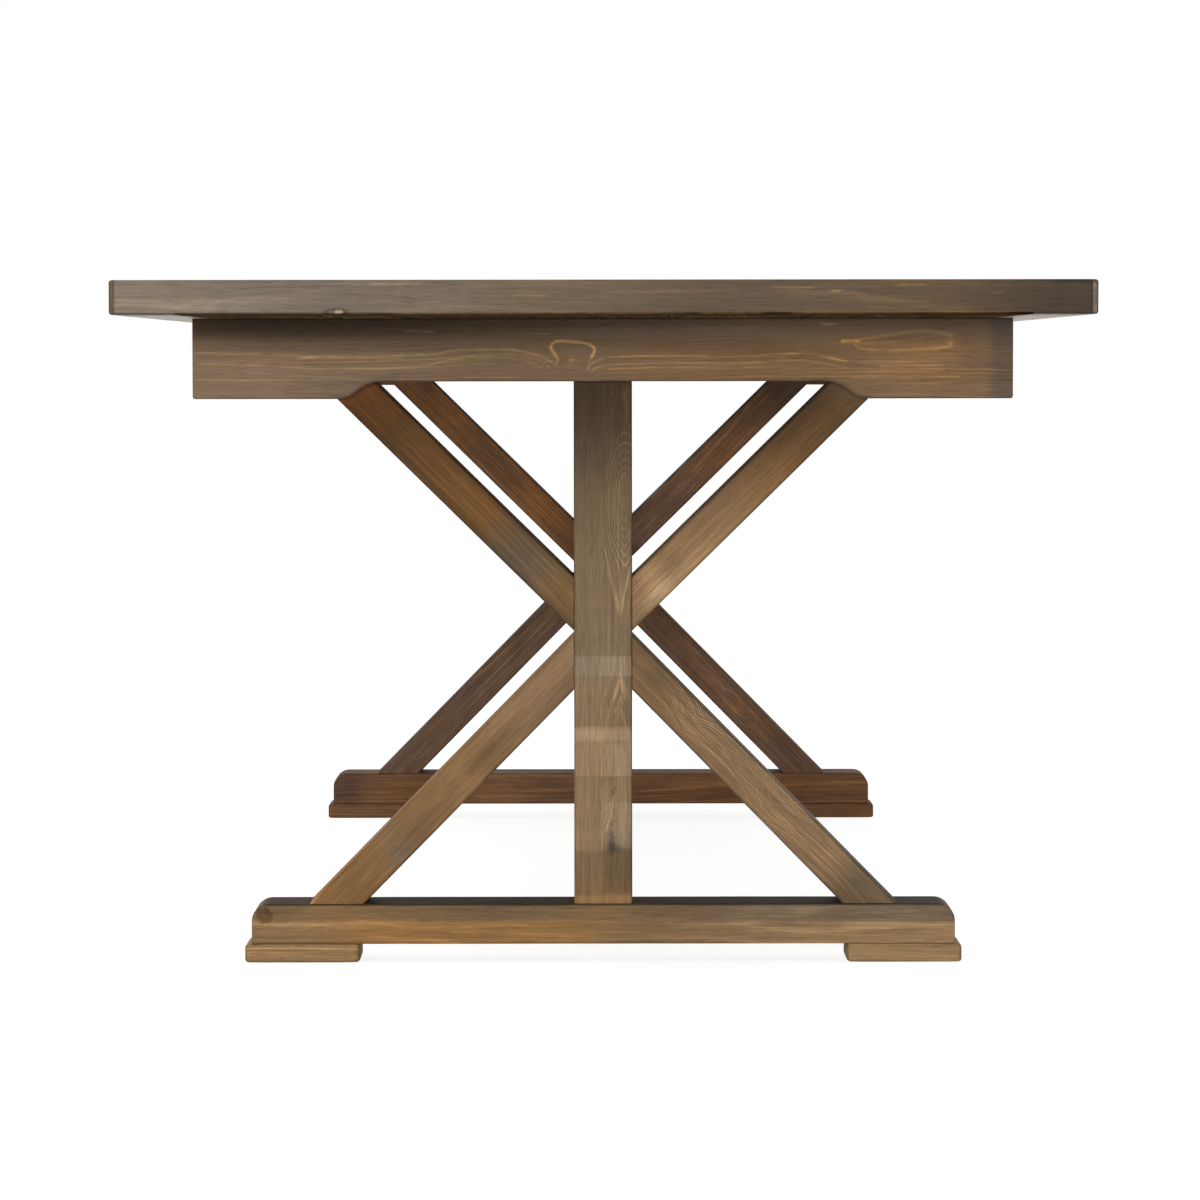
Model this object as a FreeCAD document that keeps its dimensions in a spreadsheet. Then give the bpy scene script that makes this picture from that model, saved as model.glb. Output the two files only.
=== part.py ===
"""Sawbuck table: a plank top with breadboard ends on two braced trestles.

Frame of the part: X is the table's width, Y its length, Z is up. The origin is on the floor, under the middle of the top.
All sizes are in millimetres. Left is -X and right is +X; front is the -Y end and rear the +Y end.
"""

import FreeCAD, Part
import Sketcher
import math
import os

V = FreeCAD.Vector

doc = FreeCAD.newDocument("SawbuckTable")

# ---------------------------------------------------------------------------------------------------------------------
# Driving dimensions
# ---------------------------------------------------------------------------------------------------------------------

CELLS = [
    ("table_length", 2438, "overall length of the top"),
    ("table_width", 1016, "overall width of the top"),
    ("table_height", 765, "floor to the top face"),
    ("top_thick", 36, "thickness of planks and breadboards"),
    ("bread_width", 140, "breadboard, across its grain"),
    ("corner_round", 7, "rounding of the top's four corners, seen from above"),
    ("arris_round", 3, "rounding of the top's outer arrises"),
    ("seam_bevel", 1.2, "bevel of the plank edges at each seam"),
    ("plank_count", 7, "planks side by side"),
    ("spline_thick", 8, "loose spline between two planks"),
    ("spline_wide", 24, "spline, across the seam"),
    ("tongue_thick", 12, "plank tongue in the breadboard"),
    ("tongue_long", 30, "plank tongue, along the plank"),
    ("tongue_space", 1, "groove deeper than the tongue"),
    ("groove_stop", 14, "wood left at the breadboard's ends"),
    ("peg_dia", 10, "breadboard pegs and dowels"),
    ("peg_long", 28, "breadboard peg, from the underside"),
    ("trestle_mid", 761, "trestle's middle plane from the table's middle"),
    ("trestle_deep", 66, "depth of post, braces, foot and rail"),
    ("post_wide", 66, "post, across"),
    ("foot_top", 67, "floor to the top of the foot beam"),
    ("foot_half", 399, "half the length of the foot beam"),
    ("foot_round", 20, "rounding of the foot's upper ends"),
    ("pad_high", 21, "foot pad"),
    ("pad_outer", 407, "foot pad's outer end from the middle"),
    ("pad_inner", 276, "foot pad's inner end from the middle"),
    ("pad_plan_round", 7, "pad corners, seen from above"),
    ("pad_toe_round", 5, "pad's upper outer edge"),
    ("pad_heel_round", 4.5, "pad's lower inner edge"),
    ("pad_sole_round", 3, "pad's lower outer edge"),
    ("rail_high", 45, "top rail"),
    ("rail_half", 455, "half the length of the top rail"),
    ("brace_face", 44, "face of a brace, square to its length"),
    ("upper_spring", 377, "height where an upper brace's lower edge meets the post"),
    ("upper_reach", 345.3, "outer corner of an upper brace under the rail"),
    ("lower_spring", 372.7, "height where a lower brace's upper edge meets the post"),
    ("lower_reach", 332.8, "outer corner of a lower brace on the foot"),
    ("post_tenon_long", 30, "stub tenons of the post"),
    ("post_tenon_wide", 40, "stub tenons, across"),
    ("post_tenon_thick", 22, "stub tenons, along the table"),
    ("dowel_dia", 10, "brace dowels"),
    ("dowel_side", 16, "dowels from the trestle's middle plane"),
    ("dowel_post", 20, "dowel depth in the post"),
    ("dowel_beam", 24, "dowel depth in the foot beam and the top rail"),
    ("dowel_brace", 22, "dowel depth in the brace"),
    ("apron_half", 460, "half the length of the end apron"),
    ("apron_high", 90, "front end apron at its ends"),
    ("rear_apron_high", 83.8, "rear end apron at its ends"),
    ("apron_thick", 22, "end apron"),
    ("arch_rise", 19.5, "height of the arched cut, front apron; both cuts reach the same height"),
    ("arch_half", 296.5, "half the length of the arched cut, at the lower edge"),
    ("ogee_nose", 28, "radius of the rounded nose of the arched cut"),
    ("ogee_slope", 41.6, "steepest slope of the arched cut, in degrees"),
    ("wood_arris", 1.8, "eased arrises of the trestles and aprons"),
    ("stretcher_wide", 45, "stretcher, across"),
    ("stretcher_high", 90, "stretcher, upright"),
    ("stretcher_mid", 376, "floor to the middle of the stretcher"),
    ("stretcher_arris", 4, "rounded arrises of the stretcher"),
    ("stub_thick", 22, "stretcher tenon, across"),
    ("stub_high", 68, "stretcher tenon, upright"),
    ("stub_long", 35, "stretcher tenon, in the post"),
    ("stub_peg_step", 14, "stretcher pegs above and below the middle"),
    ("stub_peg_in", 15, "stretcher pegs from the post's middle, towards the stretcher"),
    ("batten_half", 455, "half the length of the middle batten"),
    ("batten_wide", 70, "middle batten, along the table"),
    ("batten_high", 40, "middle batten, upright"),
    ("batten_slope", 35, "sloped ends of the middle batten"),
    ("screw_dia", 5, "shank of all wood screws"),
    ("screw_clear", 5.6, "clearance hole for a shank"),
    ("head_dia", 10, "screw head"),
    ("head_high", 3, "screw head"),
    ("socket_wide", 4, "hexagon socket in the head, across corners"),
    ("socket_deep", 2, "hexagon socket"),
    ("sink_dia", 13, "counterbore for a head"),
    ("top_sink", 20, "counterbores in the top rail, from below"),
    ("top_bite", 25, "screws in the planks"),
    ("batten_sink", 15, "counterbores in the middle batten"),
    ("apron_sink", 34, "counterbores in the top rail, from inside"),
    ("apron_bite", 15, "screws in the end apron"),
    ("apron_screw_up", 22, "apron screws above the rail's underside"),
    ("pad_sink", 8, "counterbores in the foot pads"),
    ("pad_bite", 29, "screws in the foot beam"),
    ("pad_screw_a", 380, "outer pad screw from the middle"),
    ("pad_screw_b", 330, "inner pad screw from the middle"),
    ("top_screw_a", 55, "top screw beside the post"),
    ("top_screw_shift", 35.5, "outer top screws, from the plank's middle"),
    ("apron_screw_a", 100, "apron screw near the post"),
    ("apron_screw_b", 200, "middle apron screw"),
    ("apron_screw_c", 370, "outer apron screw"),
]

sheet = doc.addObject("Spreadsheet::Sheet", "Dimensions")
sheet.Label = "Dimensions"
for row, (alias, value, note) in enumerate(CELLS, start=1):
    sheet.set("A%d" % row, note)
    sheet.set("B%d" % row, str(value))
    sheet.setAlias("B%d" % row, alias)
doc.recompute()


class Q:
    """A dimension: its value now, and the expression that keeps it bound to the sheet."""

    def __init__(self, value, text):
        self.v = float(value)
        self.t = text

    @staticmethod
    def of(x):
        return x if isinstance(x, Q) else Q(x, "(%r)" % float(x))

    def __add__(self, other):
        o = Q.of(other)
        return Q(self.v + o.v, "(%s + %s)" % (self.t, o.t))

    __radd__ = __add__

    def __sub__(self, other):
        o = Q.of(other)
        return Q(self.v - o.v, "(%s - %s)" % (self.t, o.t))

    def __rsub__(self, other):
        return Q.of(other) - self

    def __mul__(self, other):
        o = Q.of(other)
        return Q(self.v * o.v, "(%s * %s)" % (self.t, o.t))

    __rmul__ = __mul__

    def __truediv__(self, other):
        o = Q.of(other)
        return Q(self.v / o.v, "(%s / %s)" % (self.t, o.t))

    def __neg__(self):
        return Q(-self.v, "((-1) * %s)" % self.t)


def root(q):
    return Q(math.sqrt(q.v), "sqrt(%s)" % q.t)


def sine(q):
    return Q(math.sin(math.radians(q.v)), "sin(%s * 1 deg)" % q.t)


def cosine(q):
    return Q(math.cos(math.radians(q.v)), "cos(%s * 1 deg)" % q.t)


D = {alias: Q(value, "Dimensions.%s" % alias) for alias, value, note in CELLS}
ZERO = Q(0, "0")

# Sizes that follow from the others
top_under = D["table_height"] - D["top_thick"]
plank_w = D["table_width"] / D["plank_count"]
plank_long = D["table_length"] - 2 * D["bread_width"]
rail_under = top_under - D["rail_high"]
post_half = D["post_wide"] / 2
deep_half = D["trestle_deep"] / 2
post_high = rail_under - D["foot_top"]
apron_under = top_under - D["apron_high"]

# ---------------------------------------------------------------------------------------------------------------------
# Helpers for bodies, sketches and features
# ---------------------------------------------------------------------------------------------------------------------

NODES = []


def new_body(label):
    body = doc.addObject("PartDesign::Body", label)
    body.Label = label
    if hasattr(body, "AllowCompound"):
        body.AllowCompound = True
    NODES.append(body)
    return body


def sketch_on(body, role, name, offset=None):
    """A sketch on one of the body's own origin planes, moved along the plane's normal by offset."""
    s = body.newObject("Sketcher::SketchObject", body.Name + "_" + name)
    plane = [f for f in body.Origin.OriginFeatures if f.Role == role][0]
    s.AttachmentSupport = [(plane, "")]
    s.MapMode = "FlatFace"
    if offset is not None:
        s.AttachmentOffset = FreeCAD.Placement(V(0, 0, offset.v), FreeCAD.Rotation())
        s.setExpression(".AttachmentOffset.Base.z", offset.t)
    return s


def pin_down(s, g, pos, x, y):
    """Fixes one point of the sketch at (x, y) from the sketch's origin."""
    n = s.addConstraint(Sketcher.Constraint("DistanceX", -1, 1, g, pos, x.v))
    s.setExpression("Constraints[%d]" % n, x.t)
    n = s.addConstraint(Sketcher.Constraint("DistanceY", -1, 1, g, pos, y.v))
    s.setExpression("Constraints[%d]" % n, y.t)


def loop(s, points):
    """A closed outline. Each point is (x, y) for a straight side to the next point, or (x, y, cx, cy, r, ccw) for an arc."""
    pts = [tuple(Q.of(c) if i < 5 else c for i, c in enumerate(p)) for p in points]
    ends = []
    for i, p in enumerate(pts):
        q = pts[(i + 1) % len(pts)]
        if len(p) == 2:
            g = s.addGeometry(Part.LineSegment(V(p[0].v, p[1].v, 0), V(q[0].v, q[1].v, 0)), False)
            ends.append((g, 1, 2))
        else:
            cx, cy, r, ccw = p[2], p[3], p[4], p[5]
            a0 = math.atan2(p[1].v - cy.v, p[0].v - cx.v)
            a1 = math.atan2(q[1].v - cy.v, q[0].v - cx.v)
            if not ccw:
                a0, a1 = a1, a0
            if a1 < a0:
                a1 += 2 * math.pi
            circle = Part.Circle(V(cx.v, cy.v, 0), V(0, 0, 1), r.v)
            g = s.addGeometry(Part.ArcOfCircle(circle, a0, a1), False)
            ends.append((g, 1, 2) if ccw else (g, 2, 1))
            n = s.addConstraint(Sketcher.Constraint("Radius", g, r.v))
            s.setExpression("Constraints[%d]" % n, r.t)
    for i, (g, first, last) in enumerate(ends):
        h = ends[(i + 1) % len(ends)]
        s.addConstraint(Sketcher.Constraint("Coincident", g, last, h[0], h[1]))
        pin_down(s, g, first, pts[i][0], pts[i][1])


def rectangle(s, x0, y0, x1, y1):
    loop(s, [(x0, y0), (x1, y0), (x1, y1), (x0, y1)])


def circle(s, x, y, dia):
    x, y = Q.of(x), Q.of(y)
    g = s.addGeometry(Part.Circle(V(x.v, y.v, 0), V(0, 0, 1), dia.v / 2), False)
    n = s.addConstraint(Sketcher.Constraint("Diameter", g, dia.v))
    s.setExpression("Constraints[%d]" % n, dia.t)
    pin_down(s, g, 3, x, y)


def hexagon(s, x, y, across):
    x, y = Q.of(x), Q.of(y)
    pts = []
    for k in range(6):
        a = math.radians(60 * k)
        pts.append((x + across * (math.cos(a) / 2), y + across * (math.sin(a) / 2)))
    loop(s, pts)


def extrude(body, s, length, kind="PartDesign::Pad", both=False, flip=False):
    """A pad or a pocket of a sketch. It must add or remove wood, or the part is wrong."""
    before = body.Shape.Volume if body.Tip is not None and not body.Shape.isNull() else 0.0
    f = body.newObject(kind, body.Name + ("_pad" if kind.endswith("Pad") else "_cut"))
    f.Profile = (s, [""])
    f.SideType = "Symmetric" if both else "One side"
    f.Reversed = flip
    f.setExpression("Length", Q.of(length).t)
    doc.recompute()
    after = body.Shape.Volume
    grew = after - before
    if (grew <= 0) == kind.endswith("Pad") or abs(grew) < 1.0:
        raise RuntimeError("%s changed %s by %.3f mm3" % (f.Name, body.Label, grew))
    return f


def pad(body, s, length, both=False, flip=False):
    return extrude(body, s, length, "PartDesign::Pad", both, flip)


def cut(body, s, length, both=False, flip=False):
    return extrude(body, s, length, "PartDesign::Pocket", both, flip)


def ease(body, radius, pick):
    """Rounds the edges for which pick(edge) is true."""
    base = body.Tip
    names = ["Edge%d" % (i + 1) for i, e in enumerate(base.Shape.Edges) if pick(e)]
    if not names:
        raise RuntimeError("no edge to round on " + body.Label)
    f = body.newObject("PartDesign::Fillet", body.Name + "_ease")
    f.Base = (base, names)
    f.setExpression("Radius", radius.t)
    doc.recompute()
    return f


def place(body, x=ZERO, y=ZERO, z=ZERO, turned=False):
    """Puts a body in the table. turned is half a turn about Z, for the rear end."""
    rot = FreeCAD.Rotation(V(0, 0, 1), 180 if turned else 0)
    x, y, z = Q.of(x), Q.of(y), Q.of(z)
    body.Placement = FreeCAD.Placement(V(x.v, y.v, z.v), rot)
    for axis, q in (("x", x), ("y", y), ("z", z)):
        body.setExpression(".Placement.Base." + axis, q.t)


def along(e, d, tol=1e-6):
    """Is this edge a straight line along the unit vector d?"""
    if not isinstance(e.Curve, Part.Line):
        return False
    return abs(abs(e.Curve.Direction.dot(d)) - 1) < tol


def spread(e):
    b = e.BoundBox
    return b.XMin, b.XMax, b.YMin, b.YMax, b.ZMin, b.ZMax


def near(a, b, tol=1e-4):
    return abs(a - b) < tol


# ---------------------------------------------------------------------------------------------------------------------
# The top: seven planks with splines between them, and a breadboard across each end
# ---------------------------------------------------------------------------------------------------------------------

pw2 = plank_w / 2
tt = D["top_thick"]
sd = D["spline_wide"] / 2  # spline depth in each plank
s_lo = (tt - D["spline_thick"]) / 2
s_hi = (tt + D["spline_thick"]) / 2
t_lo = (tt - D["tongue_thick"]) / 2
t_hi = (tt + D["tongue_thick"]) / 2
ar = D["arris_round"]
sb = D["seam_bevel"]
COUNT = int(D["plank_count"].v)

for i in range(1, COUNT + 1):
    k = i - (COUNT + 1) // 2  # -3 .. 3
    b = new_body("plank_%d" % i)
    # The section, seen along the plank: rounded outer arrises, bevelled seams, a groove for each spline
    sec = sketch_on(b, "XZ_Plane", "section")
    pts = []
    if i == 1:
        pts += [(-pw2, ar, -pw2 + ar, ar, ar, True), (-pw2 + ar, ZERO)]
    else:
        pts += [(-pw2, sb), (-pw2 + sb, ZERO)]
    if i == COUNT:
        pts += [(pw2 - ar, ZERO, pw2 - ar, ar, ar, True), (pw2, ar)]
        pts += [(pw2, tt - ar, pw2 - ar, tt - ar, ar, True), (pw2 - ar, tt)]
    else:
        pts += [(pw2 - sb, ZERO), (pw2, sb), (pw2, s_lo), (pw2 - sd, s_lo), (pw2 - sd, s_hi), (pw2, s_hi)]
        pts += [(pw2, tt - sb), (pw2 - sb, tt)]
    if i == 1:
        pts += [(-pw2 + ar, tt, -pw2 + ar, tt - ar, ar, True), (-pw2, tt - ar)]
    else:
        pts += [(-pw2 + sb, tt), (-pw2, tt - sb), (-pw2, s_hi), (-pw2 + sd, s_hi), (-pw2 + sd, s_lo), (-pw2, s_lo)]
    loop(sec, pts)
    pad(b, sec, plank_long, both=True)
    # Tongues at both ends, in one piece with the plank
    ton = sketch_on(b, "XZ_Plane", "tongues")
    lo = -pw2 + sd + 2
    hi = pw2 - sd - 2
    if i == 1:
        lo = -pw2 + D["groove_stop"] + 2
    if i == COUNT:
        hi = pw2 - D["groove_stop"] - 2
    rectangle(ton, lo, t_lo, hi, t_hi)
    pad(b, ton, plank_long + 2 * D["tongue_long"], both=True)
    # Peg holes through the tongues
    pegs = sketch_on(b, "XY_Plane", "peg_holes")
    peg_y = (plank_long + D["tongue_long"]) / 2
    circle(pegs, ZERO, peg_y, D["peg_dia"])
    circle(pegs, ZERO, -peg_y, D["peg_dia"])
    cut(b, pegs, tt * 4, both=True)
    # Pilot holes for the screws that come up from the two rails and the middle batten
    pil = sketch_on(b, "XY_Plane", "pilot_holes")
    if k == 0:
        xs = [-D["top_screw_a"], D["top_screw_a"]]
    elif abs(k) == 1:
        xs = [ZERO]
    else:
        xs = [-D["top_screw_shift"] if k > 0 else D["top_screw_shift"]]
    for x in xs:
        circle(pil, x, D["trestle_mid"], D["screw_dia"])
        circle(pil, x, -D["trestle_mid"], D["screw_dia"])
    circle(pil, ZERO if k == 0 else xs[0], ZERO, D["screw_dia"])
    cut(b, pil, D["top_bite"], flip=True)
    place(b, x=plank_w * k, z=top_under)

# Loose splines, one in each seam
b = new_body("plank_splines")
spl = sketch_on(b, "XZ_Plane", "sections")
for k in range(COUNT - 1):
    x = plank_w * (k + 1) - D["table_width"] / 2
    rectangle(spl, x - sd, s_lo, x + sd, s_hi)
pad(b, spl, plank_long, both=True)
place(b, z=top_under)

# Breadboards: local origin in the plane where the planks' shoulders meet them
bw = D["bread_width"]
hw = D["table_width"] / 2
cr = D["corner_round"]
for end in ("front", "rear"):
    b = new_body(end + "_breadboard")
    plan = sketch_on(b, "XY_Plane", "plan")
    loop(plan, [
        (hw, ZERO), (-hw, ZERO),
        (-hw, -bw + cr, -hw + cr, -bw + cr, cr, True), (-hw + cr, -bw),
        (hw - cr, -bw, hw - cr, -bw + cr, cr, True), (hw, -bw + cr),
    ])
    pad(b, plan, tt)
    ease(b, ar, lambda e: (near(e.BoundBox.ZMin, e.BoundBox.ZMax) and not (near(e.BoundBox.YMin, 0) and near(e.BoundBox.YMax, 0))))
    gro = sketch_on(b, "XZ_Plane", "groove")
    rectangle(gro, -hw + D["groove_stop"], t_lo, hw - D["groove_stop"], t_hi)
    cut(b, gro, D["tongue_long"] + D["tongue_space"], flip=True)
    pegs = sketch_on(b, "XY_Plane", "peg_holes")
    for k in range(COUNT):
        circle(pegs, plank_w * (k - COUNT // 2), -D["tongue_long"] / 2, D["peg_dia"])
    cut(b, pegs, D["peg_long"], flip=True)
    if end == "front":
        place(b, y=-plank_long / 2, z=top_under)
    else:
        place(b, y=plank_long / 2, z=top_under, turned=True)

# Pegs that hold the tongues in the breadboards, driven from the underside
b = new_body("breadboard_pegs")
pegs = sketch_on(b, "XY_Plane", "pegs")
for k in range(COUNT):
    for sign in (-1, 1):
        circle(pegs, plank_w * (k - COUNT // 2), (plank_long + D["tongue_long"]) * (sign / 2), D["peg_dia"])
pad(b, pegs, D["peg_long"])
place(b, z=top_under)

# ---------------------------------------------------------------------------------------------------------------------
# Wood screws: a group of separate solids in one body. up is the shank's direction.
# ---------------------------------------------------------------------------------------------------------------------


def screw_group(label, role, spots, seat, shank, flip=False):
    """Screws with flat heads and hexagon sockets. seat is the plane under the heads, along the plane's normal."""
    body = new_body(label)
    a = sketch_on(body, role, "shanks", seat)
    for x, y in spots:
        circle(a, x, y, D["screw_dia"])
    pad(body, a, shank, flip=flip)
    c = sketch_on(body, role, "heads", seat)
    for x, y in spots:
        circle(c, x, y, D["head_dia"])
    pad(body, c, D["head_high"], flip=not flip)
    outer = seat - D["head_high"] if not flip else seat + D["head_high"]
    e = sketch_on(body, role, "sockets", outer)
    for x, y in spots:
        hexagon(e, x, y, D["socket_wide"])
    # A pocket cuts against its plane's normal, so it is turned round where the heads face against the normal
    cut(body, e, D["socket_deep"], flip=not flip)
    return body


# ---------------------------------------------------------------------------------------------------------------------
# The middle batten
# ---------------------------------------------------------------------------------------------------------------------

bh = D["batten_half"]
b = new_body("middle_batten")
side = sketch_on(b, "XZ_Plane", "side")
loop(side, [
    (-bh, D["batten_high"]), (-bh, D["batten_high"] / 2), (-bh + D["batten_slope"], ZERO),
    (bh - D["batten_slope"], ZERO), (bh, D["batten_high"] / 2), (bh, D["batten_high"]),
])
pad(b, side, D["batten_wide"], both=True)
ease(b, D["wood_arris"], lambda e: near(abs(e.CenterOfMass.y), D["batten_wide"].v / 2) and e.CenterOfMass.z < 15)
holes = sketch_on(b, "XY_Plane", "screw_holes")
sinks = sketch_on(b, "XY_Plane", "sinks")
spots = [(ZERO, ZERO)]
for sx in (-1, 1):
    for x in (plank_w, plank_w * 2 - D["top_screw_shift"], plank_w * 3 - D["top_screw_shift"]):
        spots.append((x * sx, ZERO))
for x, y in spots:
    circle(holes, x, y, D["screw_clear"])
    circle(sinks, x, y, D["sink_dia"])
cut(b, holes, D["batten_high"] * 4, both=True)
cut(b, sinks, D["batten_sink"] * 2, both=True)
place(b, z=top_under - D["batten_high"])

b = screw_group("middle_batten_screws", "XY_Plane", spots, D["batten_sink"],
                D["batten_high"] - D["batten_sink"] + D["top_bite"])
place(b, z=top_under - D["batten_high"])

# ---------------------------------------------------------------------------------------------------------------------
# The trestles. Each is drawn about its own middle plane, Y = 0, with X and Z as in the table, and is then put at its
# end of the table. The rear one is turned round by half a turn.
# ---------------------------------------------------------------------------------------------------------------------

tm = D["trestle_mid"]
face = D["brace_face"]


def brace_points(spring, reach, beam, up):
    """Corners of a right-hand brace: on the post at spring, at the beam at reach, and the same edge moved by the face."""
    dx = reach - post_half
    dz = (beam - spring) if up else (spring - beam)
    slope = root(dx * dx + dz * dz)
    hs = face * slope / dz  # the face measured level
    vs = face * slope / dx  # the face measured plumb
    if up:
        return [(post_half, spring), (reach, beam), (reach - hs, beam), (post_half, spring + vs)], hs, vs
    return [(post_half, spring - vs), (reach - hs, beam), (reach, beam), (post_half, spring)], hs, vs


up_pts, up_hs, up_vs = brace_points(D["upper_spring"], D["upper_reach"], rail_under, True)
lo_pts, lo_hs, lo_vs = brace_points(D["lower_spring"], D["lower_reach"], D["foot_top"], False)
# Dowels sit in the middle of each butt joint
up_post_z = D["upper_spring"] + up_vs / 2
lo_post_z = D["lower_spring"] - lo_vs / 2
up_beam_x = D["upper_reach"] - up_hs / 2
lo_beam_x = D["lower_reach"] - lo_hs / 2
ds = D["dowel_side"]
dd = D["dowel_dia"]


def mirror(points, sx):
    return [(x * sx, z) for x, z in points] if sx < 0 else points


def trestle(end):
    turned = end == "rear"
    y_mid = tm if turned else -tm

    def side_of(sx):
        """The side of the table on which a piece drawn at +X or -X ends up."""
        return "left" if (sx < 0) != turned else "right"

    # Foot beam
    body = new_body(end + "_foot_beam")
    fh, fr, ft, ph = D["foot_half"], D["foot_round"], D["foot_top"], D["pad_high"]
    s = sketch_on(body, "XZ_Plane", "outline")
    loop(s, [
        (-fh, ph), (fh, ph),
        (fh, ft - fr, fh - fr, ft - fr, fr, True), (fh - fr, ft),
        (-fh + fr, ft, -fh + fr, ft - fr, fr, True), (-fh, ft - fr),
    ])
    pad(body, s, D["trestle_deep"], both=True)
    ease(body, D["wood_arris"], lambda e: near(e.BoundBox.YMin, e.BoundBox.YMax) and near(abs(e.BoundBox.YMin), deep_half.v))
    s = sketch_on(body, "XY_Plane", "mortise", ft)
    rectangle(s, -D["post_tenon_wide"] / 2, -D["post_tenon_thick"] / 2, D["post_tenon_wide"] / 2, D["post_tenon_thick"] / 2)
    cut(body, s, D["post_tenon_long"])
    s = sketch_on(body, "XY_Plane", "dowel_holes", ft)
    for sx in (-1, 1):
        for sy in (-1, 1):
            circle(s, lo_beam_x * sx, ds * sy, dd)
    cut(body, s, D["dowel_beam"])
    s = sketch_on(body, "XY_Plane", "pilot_holes", ph)
    for sx in (-1, 1):
        circle(s, D["pad_screw_a"] * sx, ZERO, D["screw_dia"])
        circle(s, D["pad_screw_b"] * sx, ZERO, D["screw_dia"])
    cut(body, s, D["pad_bite"], flip=True)
    place(body, y=y_mid, turned=turned)

    # Foot pads
    po, pi = D["pad_outer"], D["pad_inner"]
    pr, toe, heel, sole = D["pad_plan_round"], D["pad_toe_round"], D["pad_heel_round"], D["pad_sole_round"]
    for sx in (-1, 1):
        body = new_body(end + "_foot_pad_" + side_of(sx))
        s = sketch_on(body, "XZ_Plane", "outline")
        if sx > 0:
            loop(s, [
                (pi, ph), (pi, heel, pi + heel, heel, heel, True), (pi + heel, ZERO),
                (po - sole, ZERO, po - sole, sole, sole, True), (po, sole),
                (po, ph - toe, po - toe, ph - toe, toe, True), (po - toe, ph),
            ])
        else:
            loop(s, [
                (-pi, ph), (-po + toe, ph, -po + toe, ph - toe, toe, True), (-po, ph - toe),
                (-po, sole, -po + sole, sole, sole, True), (-po + sole, ZERO),
                (-pi - heel, ZERO, -pi - heel, heel, heel, True), (-pi, heel),
            ])
        pad(body, s, D["trestle_deep"], both=True)
        # The four upright corners are rounded: a frame-shaped cut round a rounded rectangle
        s = sketch_on(body, "XY_Plane", "plan")
        x0, x1 = (pi, po) if sx > 0 else (-po, -pi)
        y0, y1 = -deep_half, deep_half
        rectangle(s, x0 - 5, y0 - 5, x1 + 5, y1 + 5)
        loop(s, [
            (x0, y0 + pr, x0 + pr, y0 + pr, pr, True), (x0 + pr, y0),
            (x1 - pr, y0, x1 - pr, y0 + pr, pr, True), (x1, y0 + pr),
            (x1, y1 - pr, x1 - pr, y1 - pr, pr, True), (x1 - pr, y1),
            (x0 + pr, y1, x0 + pr, y1 - pr, pr, True), (x0, y1 - pr),
        ])
        cut(body, s, ph * 4, both=True)
        s = sketch_on(body, "XY_Plane", "screw_holes")
        t = sketch_on(body, "XY_Plane", "sinks")
        for x in (D["pad_screw_a"], D["pad_screw_b"]):
            circle(s, x * sx, ZERO, D["screw_clear"])
            circle(t, x * sx, ZERO, D["sink_dia"])
        cut(body, s, ph * 4, both=True)
        cut(body, t, D["pad_sink"] * 2, both=True)
        place(body, y=y_mid, turned=turned)

    # Post, with a stub tenon at each end and a mortise for the stretcher in its inner face
    body = new_body(end + "_post")
    s = sketch_on(body, "XY_Plane", "plan", D["foot_top"])
    rectangle(s, -post_half, -deep_half, post_half, deep_half)
    pad(body, s, post_high)
    ease(body, D["wood_arris"], lambda e: along(e, V(0, 0, 1)))
    s = sketch_on(body, "XY_Plane", "tenons", D["foot_top"] - D["post_tenon_long"])
    rectangle(s, -D["post_tenon_wide"] / 2, -D["post_tenon_thick"] / 2, D["post_tenon_wide"] / 2, D["post_tenon_thick"] / 2)
    pad(body, s, post_high + 2 * D["post_tenon_long"])
    s = sketch_on(body, "XZ_Plane", "stretcher_mortise", -deep_half)
    rectangle(s, -D["stub_thick"] / 2, D["stretcher_mid"] - D["stub_high"] / 2, D["stub_thick"] / 2, D["stretcher_mid"] + D["stub_high"] / 2)
    cut(body, s, D["stub_long"], flip=True)
    for sx in (-1, 1):
        s = sketch_on(body, "YZ_Plane", "dowel_holes_%d" % (sx + 1), post_half * sx)
        for sy in (-1, 1):
            circle(s, ds * sy, up_post_z, dd)
            circle(s, ds * sy, lo_post_z, dd)
        cut(body, s, D["dowel_post"], flip=sx < 0)
    s = sketch_on(body, "YZ_Plane", "stretcher_peg_holes")
    for step in (-1, 1):
        circle(s, D["stub_peg_in"], D["stretcher_mid"] + D["stub_peg_step"] * step, D["peg_dia"])
    cut(body, s, D["post_wide"] * 2, both=True)
    place(body, y=y_mid, turned=turned)

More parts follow.
